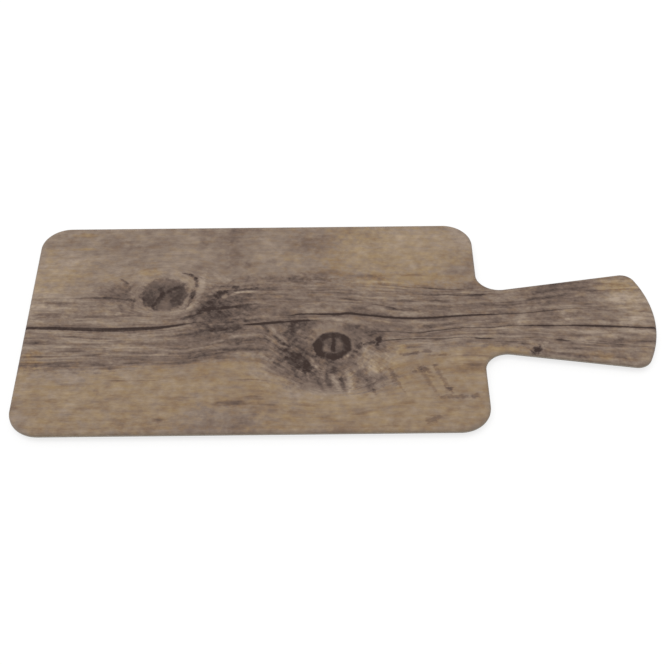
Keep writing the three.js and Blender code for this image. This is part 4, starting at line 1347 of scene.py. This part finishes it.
def width_points(widths):
    """The points of a crack's width curve, which is 0 where the crack doesn't reach the paper's end."""
    points = [(along(x), half / CRACK_WIDTH) for x, half in widths]
    before = [] if points[0][0] == 0 else [(0.0, 0.0)]
    after = [] if points[-1][0] == 1 else [(1.0, 0.0)]
    return before + points + after


wobble = wood.math("MULTIPLY", crumbs, CRACK_WOBBLE)
for guide, widths in CRACKS.items():
    half_width = curve_node(wood, share_x, width_points(widths))
    opening = {"Across": paper_y, "Line": guides[guide], "Half Width": half_width, "Wobble": wobble}
    tone = wood.math("ADD", tone, place_group(wood, CRACK, {**opening, "Tone": CRACK_TONE})["Tone"])
print(nodes_with("cracks"))

# %% Painted light on the paper that is pulled over the edge, and crumbs in the dark places
# Painted highlight: the paper pulled over the rolled edge is drawn lighter, to offset the shade on the
# edge's lower side.
PAINTED_EDGE_LIGHT_SPAN = (2.0, 5.0)  # mm over the edge between which the paper turns lighter
PAINTED_EDGE_LIGHT = 0.06
DARK_TONES = (0.30, 0.42)  # tones between which the crumbs fade out
DARK_CRUMBS = {"length": 2.4, "width": 2.0, "seed": 13.8}
DARK_CRUMB_TONE = 0.07

# Painted highlight: a lighter tone on the paper over the rolled edge, against the shade that falls there.
tone = wood.math("ADD", tone, wood.remap(pulled, *PAINTED_EDGE_LIGHT_SPAN, 0.0, PAINTED_EDGE_LIGHT))
darkness = wood.remap(tone, *DARK_TONES, DARK_CRUMB_TONE, 0.0)
tone = wood.math("MULTIPLY_ADD", fibres(wood, mottled, **DARK_CRUMBS), darkness, tone)
print(nodes_with("its last tones"))

# %% Warmth: the tan, warmer and greyer places, and none in the dark
WARM_SOFTNESS = 0.8
# Painted reflection: the paper over the rolled edge is drawn greyer, as where it mirrors the white
# surroundings.
PAINTED_EDGE_GREYING = -0.2  # warmth lost per millimetre of paper that is pulled over the edge
WARM_TONES = (0.3, 0.44)  # tones between which warmth comes in
WARMTH_LIMITS = {"Min": -0.1, "Max": 1.7}

warm = add_marks(wood, in_tan, WARM_BLOTCHES, paper_x, paper_y, round_edge, WARM_SOFTNESS)
warm = add_fibres(warm, [(grain, 14.0, 3.0, 4.6, 1.0, None), (mottled, 7.0, 5.0, 1.9, 1.0, None)])
# Painted reflection: less warmth the further the paper is pulled over the edge.
warm = wood.math("MULTIPLY_ADD", pulled, PAINTED_EDGE_GREYING, warm)
warm = wood.math("MULTIPLY", warm, wood.remap(tone, *WARM_TONES))
warm = wood.add("ShaderNodeClamp", {"Value": warm, **WARMTH_LIMITS}).outputs["Result"]
print(nodes_with("warmth"))

# %% Ink, from tone to display colour
GREY_INK = [(0.19, (58, 45, 40)), (0.30, (84, 71, 65)), (0.37, (106, 90, 81)), (0.434, (125, 107, 95)),
            (0.495, (140, 123, 109)), (0.565, (159, 141, 125)), (0.63, (176, 158, 140))]
TAN_INK = [(0.20, (62, 48, 42)), (0.31, (93, 73, 61)), (0.418, (124, 102, 84)), (0.483, (141, 119, 98)),
           (0.516, (149, 128, 105)), (0.565, (161, 140, 116)), (0.63, (177, 156, 132))]


def ink(stops):
    node = wood.add("ShaderNodeValToRGB", {"Fac": tone})
    elements = node.color_ramp.elements
    while len(elements) < len(stops):
        elements.new(0.5)
    for element, (position, colour) in zip(elements, stops):
        element.position = position
        element.color = linear(*colour)
    return node.outputs["Color"]


mixed = mix_colour(wood, warm, ink(GREY_INK), ink(TAN_INK))
mixed.clamp_factor = False
wood.feed(glaze.inputs["Base Color"], mixed.outputs[2])
print(nodes_with("ink"))

# %% The glaze
GLAZE_SCALES = {"Peel Scale": 260.0, "Fleck Scale": 1400.0}
mould(wood, glaze, GLAZE_SCALES, roughness=(0.42, 0.54), bump_strength=0.06)
glaze.inputs["Specular IOR Level"].default_value = 0.1
foil.data.materials.append(printed)
print(nodes_with("its glaze"))

# %% [markdown]
# ## Floor, light and world
# A wide soft sun and an even world light the board at a plain level, so a colour renders about as it is
# written. The floor is pale. To the camera, in reflections and through glass it is lifted to white, and so
# is the world, while neither gives the board more light for it. The floor keeps the board's soft shadow.

# %% The floor
FLOOR_REACH = 3.0  # metres
FLOOR_GREY = 0.32
FLOOR_ROUGHNESS = 0.9
FLOOR_LIFT = 0.73
WHITE = (1, 1, 1, 1)


def seen_rays(wiring):
    """1 for rays that show a thing to the camera, in a reflection or through glass, and 0 for the rest."""
    path = wiring.add("ShaderNodeLightPath").outputs
    seen = wiring.math("MAXIMUM", path["Is Camera Ray"], path["Is Glossy Ray"])
    return wiring.math("MAXIMUM", seen, path["Is Transmission Ray"])


def floor_material():
    material = bpy.data.materials.new("pale_floor")
    wiring, shader = material_wiring(material)
    shader.inputs["Base Color"].default_value = (FLOOR_GREY, FLOOR_GREY, FLOOR_GREY, 1)
    shader.inputs["Roughness"].default_value = FLOOR_ROUGHNESS
    shader.inputs["Specular IOR Level"].default_value = 0.0
    shader.inputs["Emission Color"].default_value = WHITE
    wiring.feed(shader.inputs["Emission Strength"], wiring.math("MULTIPLY", seen_rays(wiring), FLOOR_LIFT))
    return material


floor = add_object("floor", bpy.data.meshes.new("floor"))
floor_corners = [(-FLOOR_REACH, -FLOOR_REACH), (FLOOR_REACH, -FLOOR_REACH)]
floor_corners += [(FLOOR_REACH, FLOOR_REACH), (-FLOOR_REACH, FLOOR_REACH)]
floor.data.from_pydata([(x, y, 0) for x, y in floor_corners], [], [(0, 1, 2, 3)])
floor.data.materials.append(floor_material())
print("floor:", 2 * FLOOR_REACH, "metres wide")

# %% The sun and the world
SUN_STRENGTH = 1.5
SUN_ANGLE = math.radians(50)
SUN_TILT = (math.radians(22), math.radians(-6), 0)
WORLD_STRENGTH = 0.5


def lit_world():
    world = bpy.data.worlds.new("studio")
    world.use_nodes = True
    world.node_tree.nodes.clear()
    wiring = Wiring(world.node_tree)
    strength = wiring.remap(seen_rays(wiring), 0.0, 1.0, WORLD_STRENGTH, 1.0)
    background = wiring.add("ShaderNodeBackground", {"Color": WHITE, "Strength": strength})
    wiring.add("ShaderNodeOutputWorld", {"Surface": background.outputs["Background"]})
    return world


sun = add_object("soft_sun", bpy.data.lights.new("soft_sun", "SUN"))
sun.data.energy = SUN_STRENGTH
sun.data.angle = SUN_ANGLE
sun.rotation_euler = SUN_TILT
bpy.context.scene.world = lit_world()
bpy.context.scene.view_settings.view_transform = "Standard"
print("sun", SUN_STRENGTH, "and world", WORLD_STRENGTH)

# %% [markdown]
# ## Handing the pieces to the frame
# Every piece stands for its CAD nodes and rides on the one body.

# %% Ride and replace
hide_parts("decor_foil")
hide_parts("melamine_core")
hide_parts(*FOOT_NODES)
for piece, slot in ((foil, "wood_print"), (core, "melamine"), (feet, "silicone")):
    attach(piece, BODY)
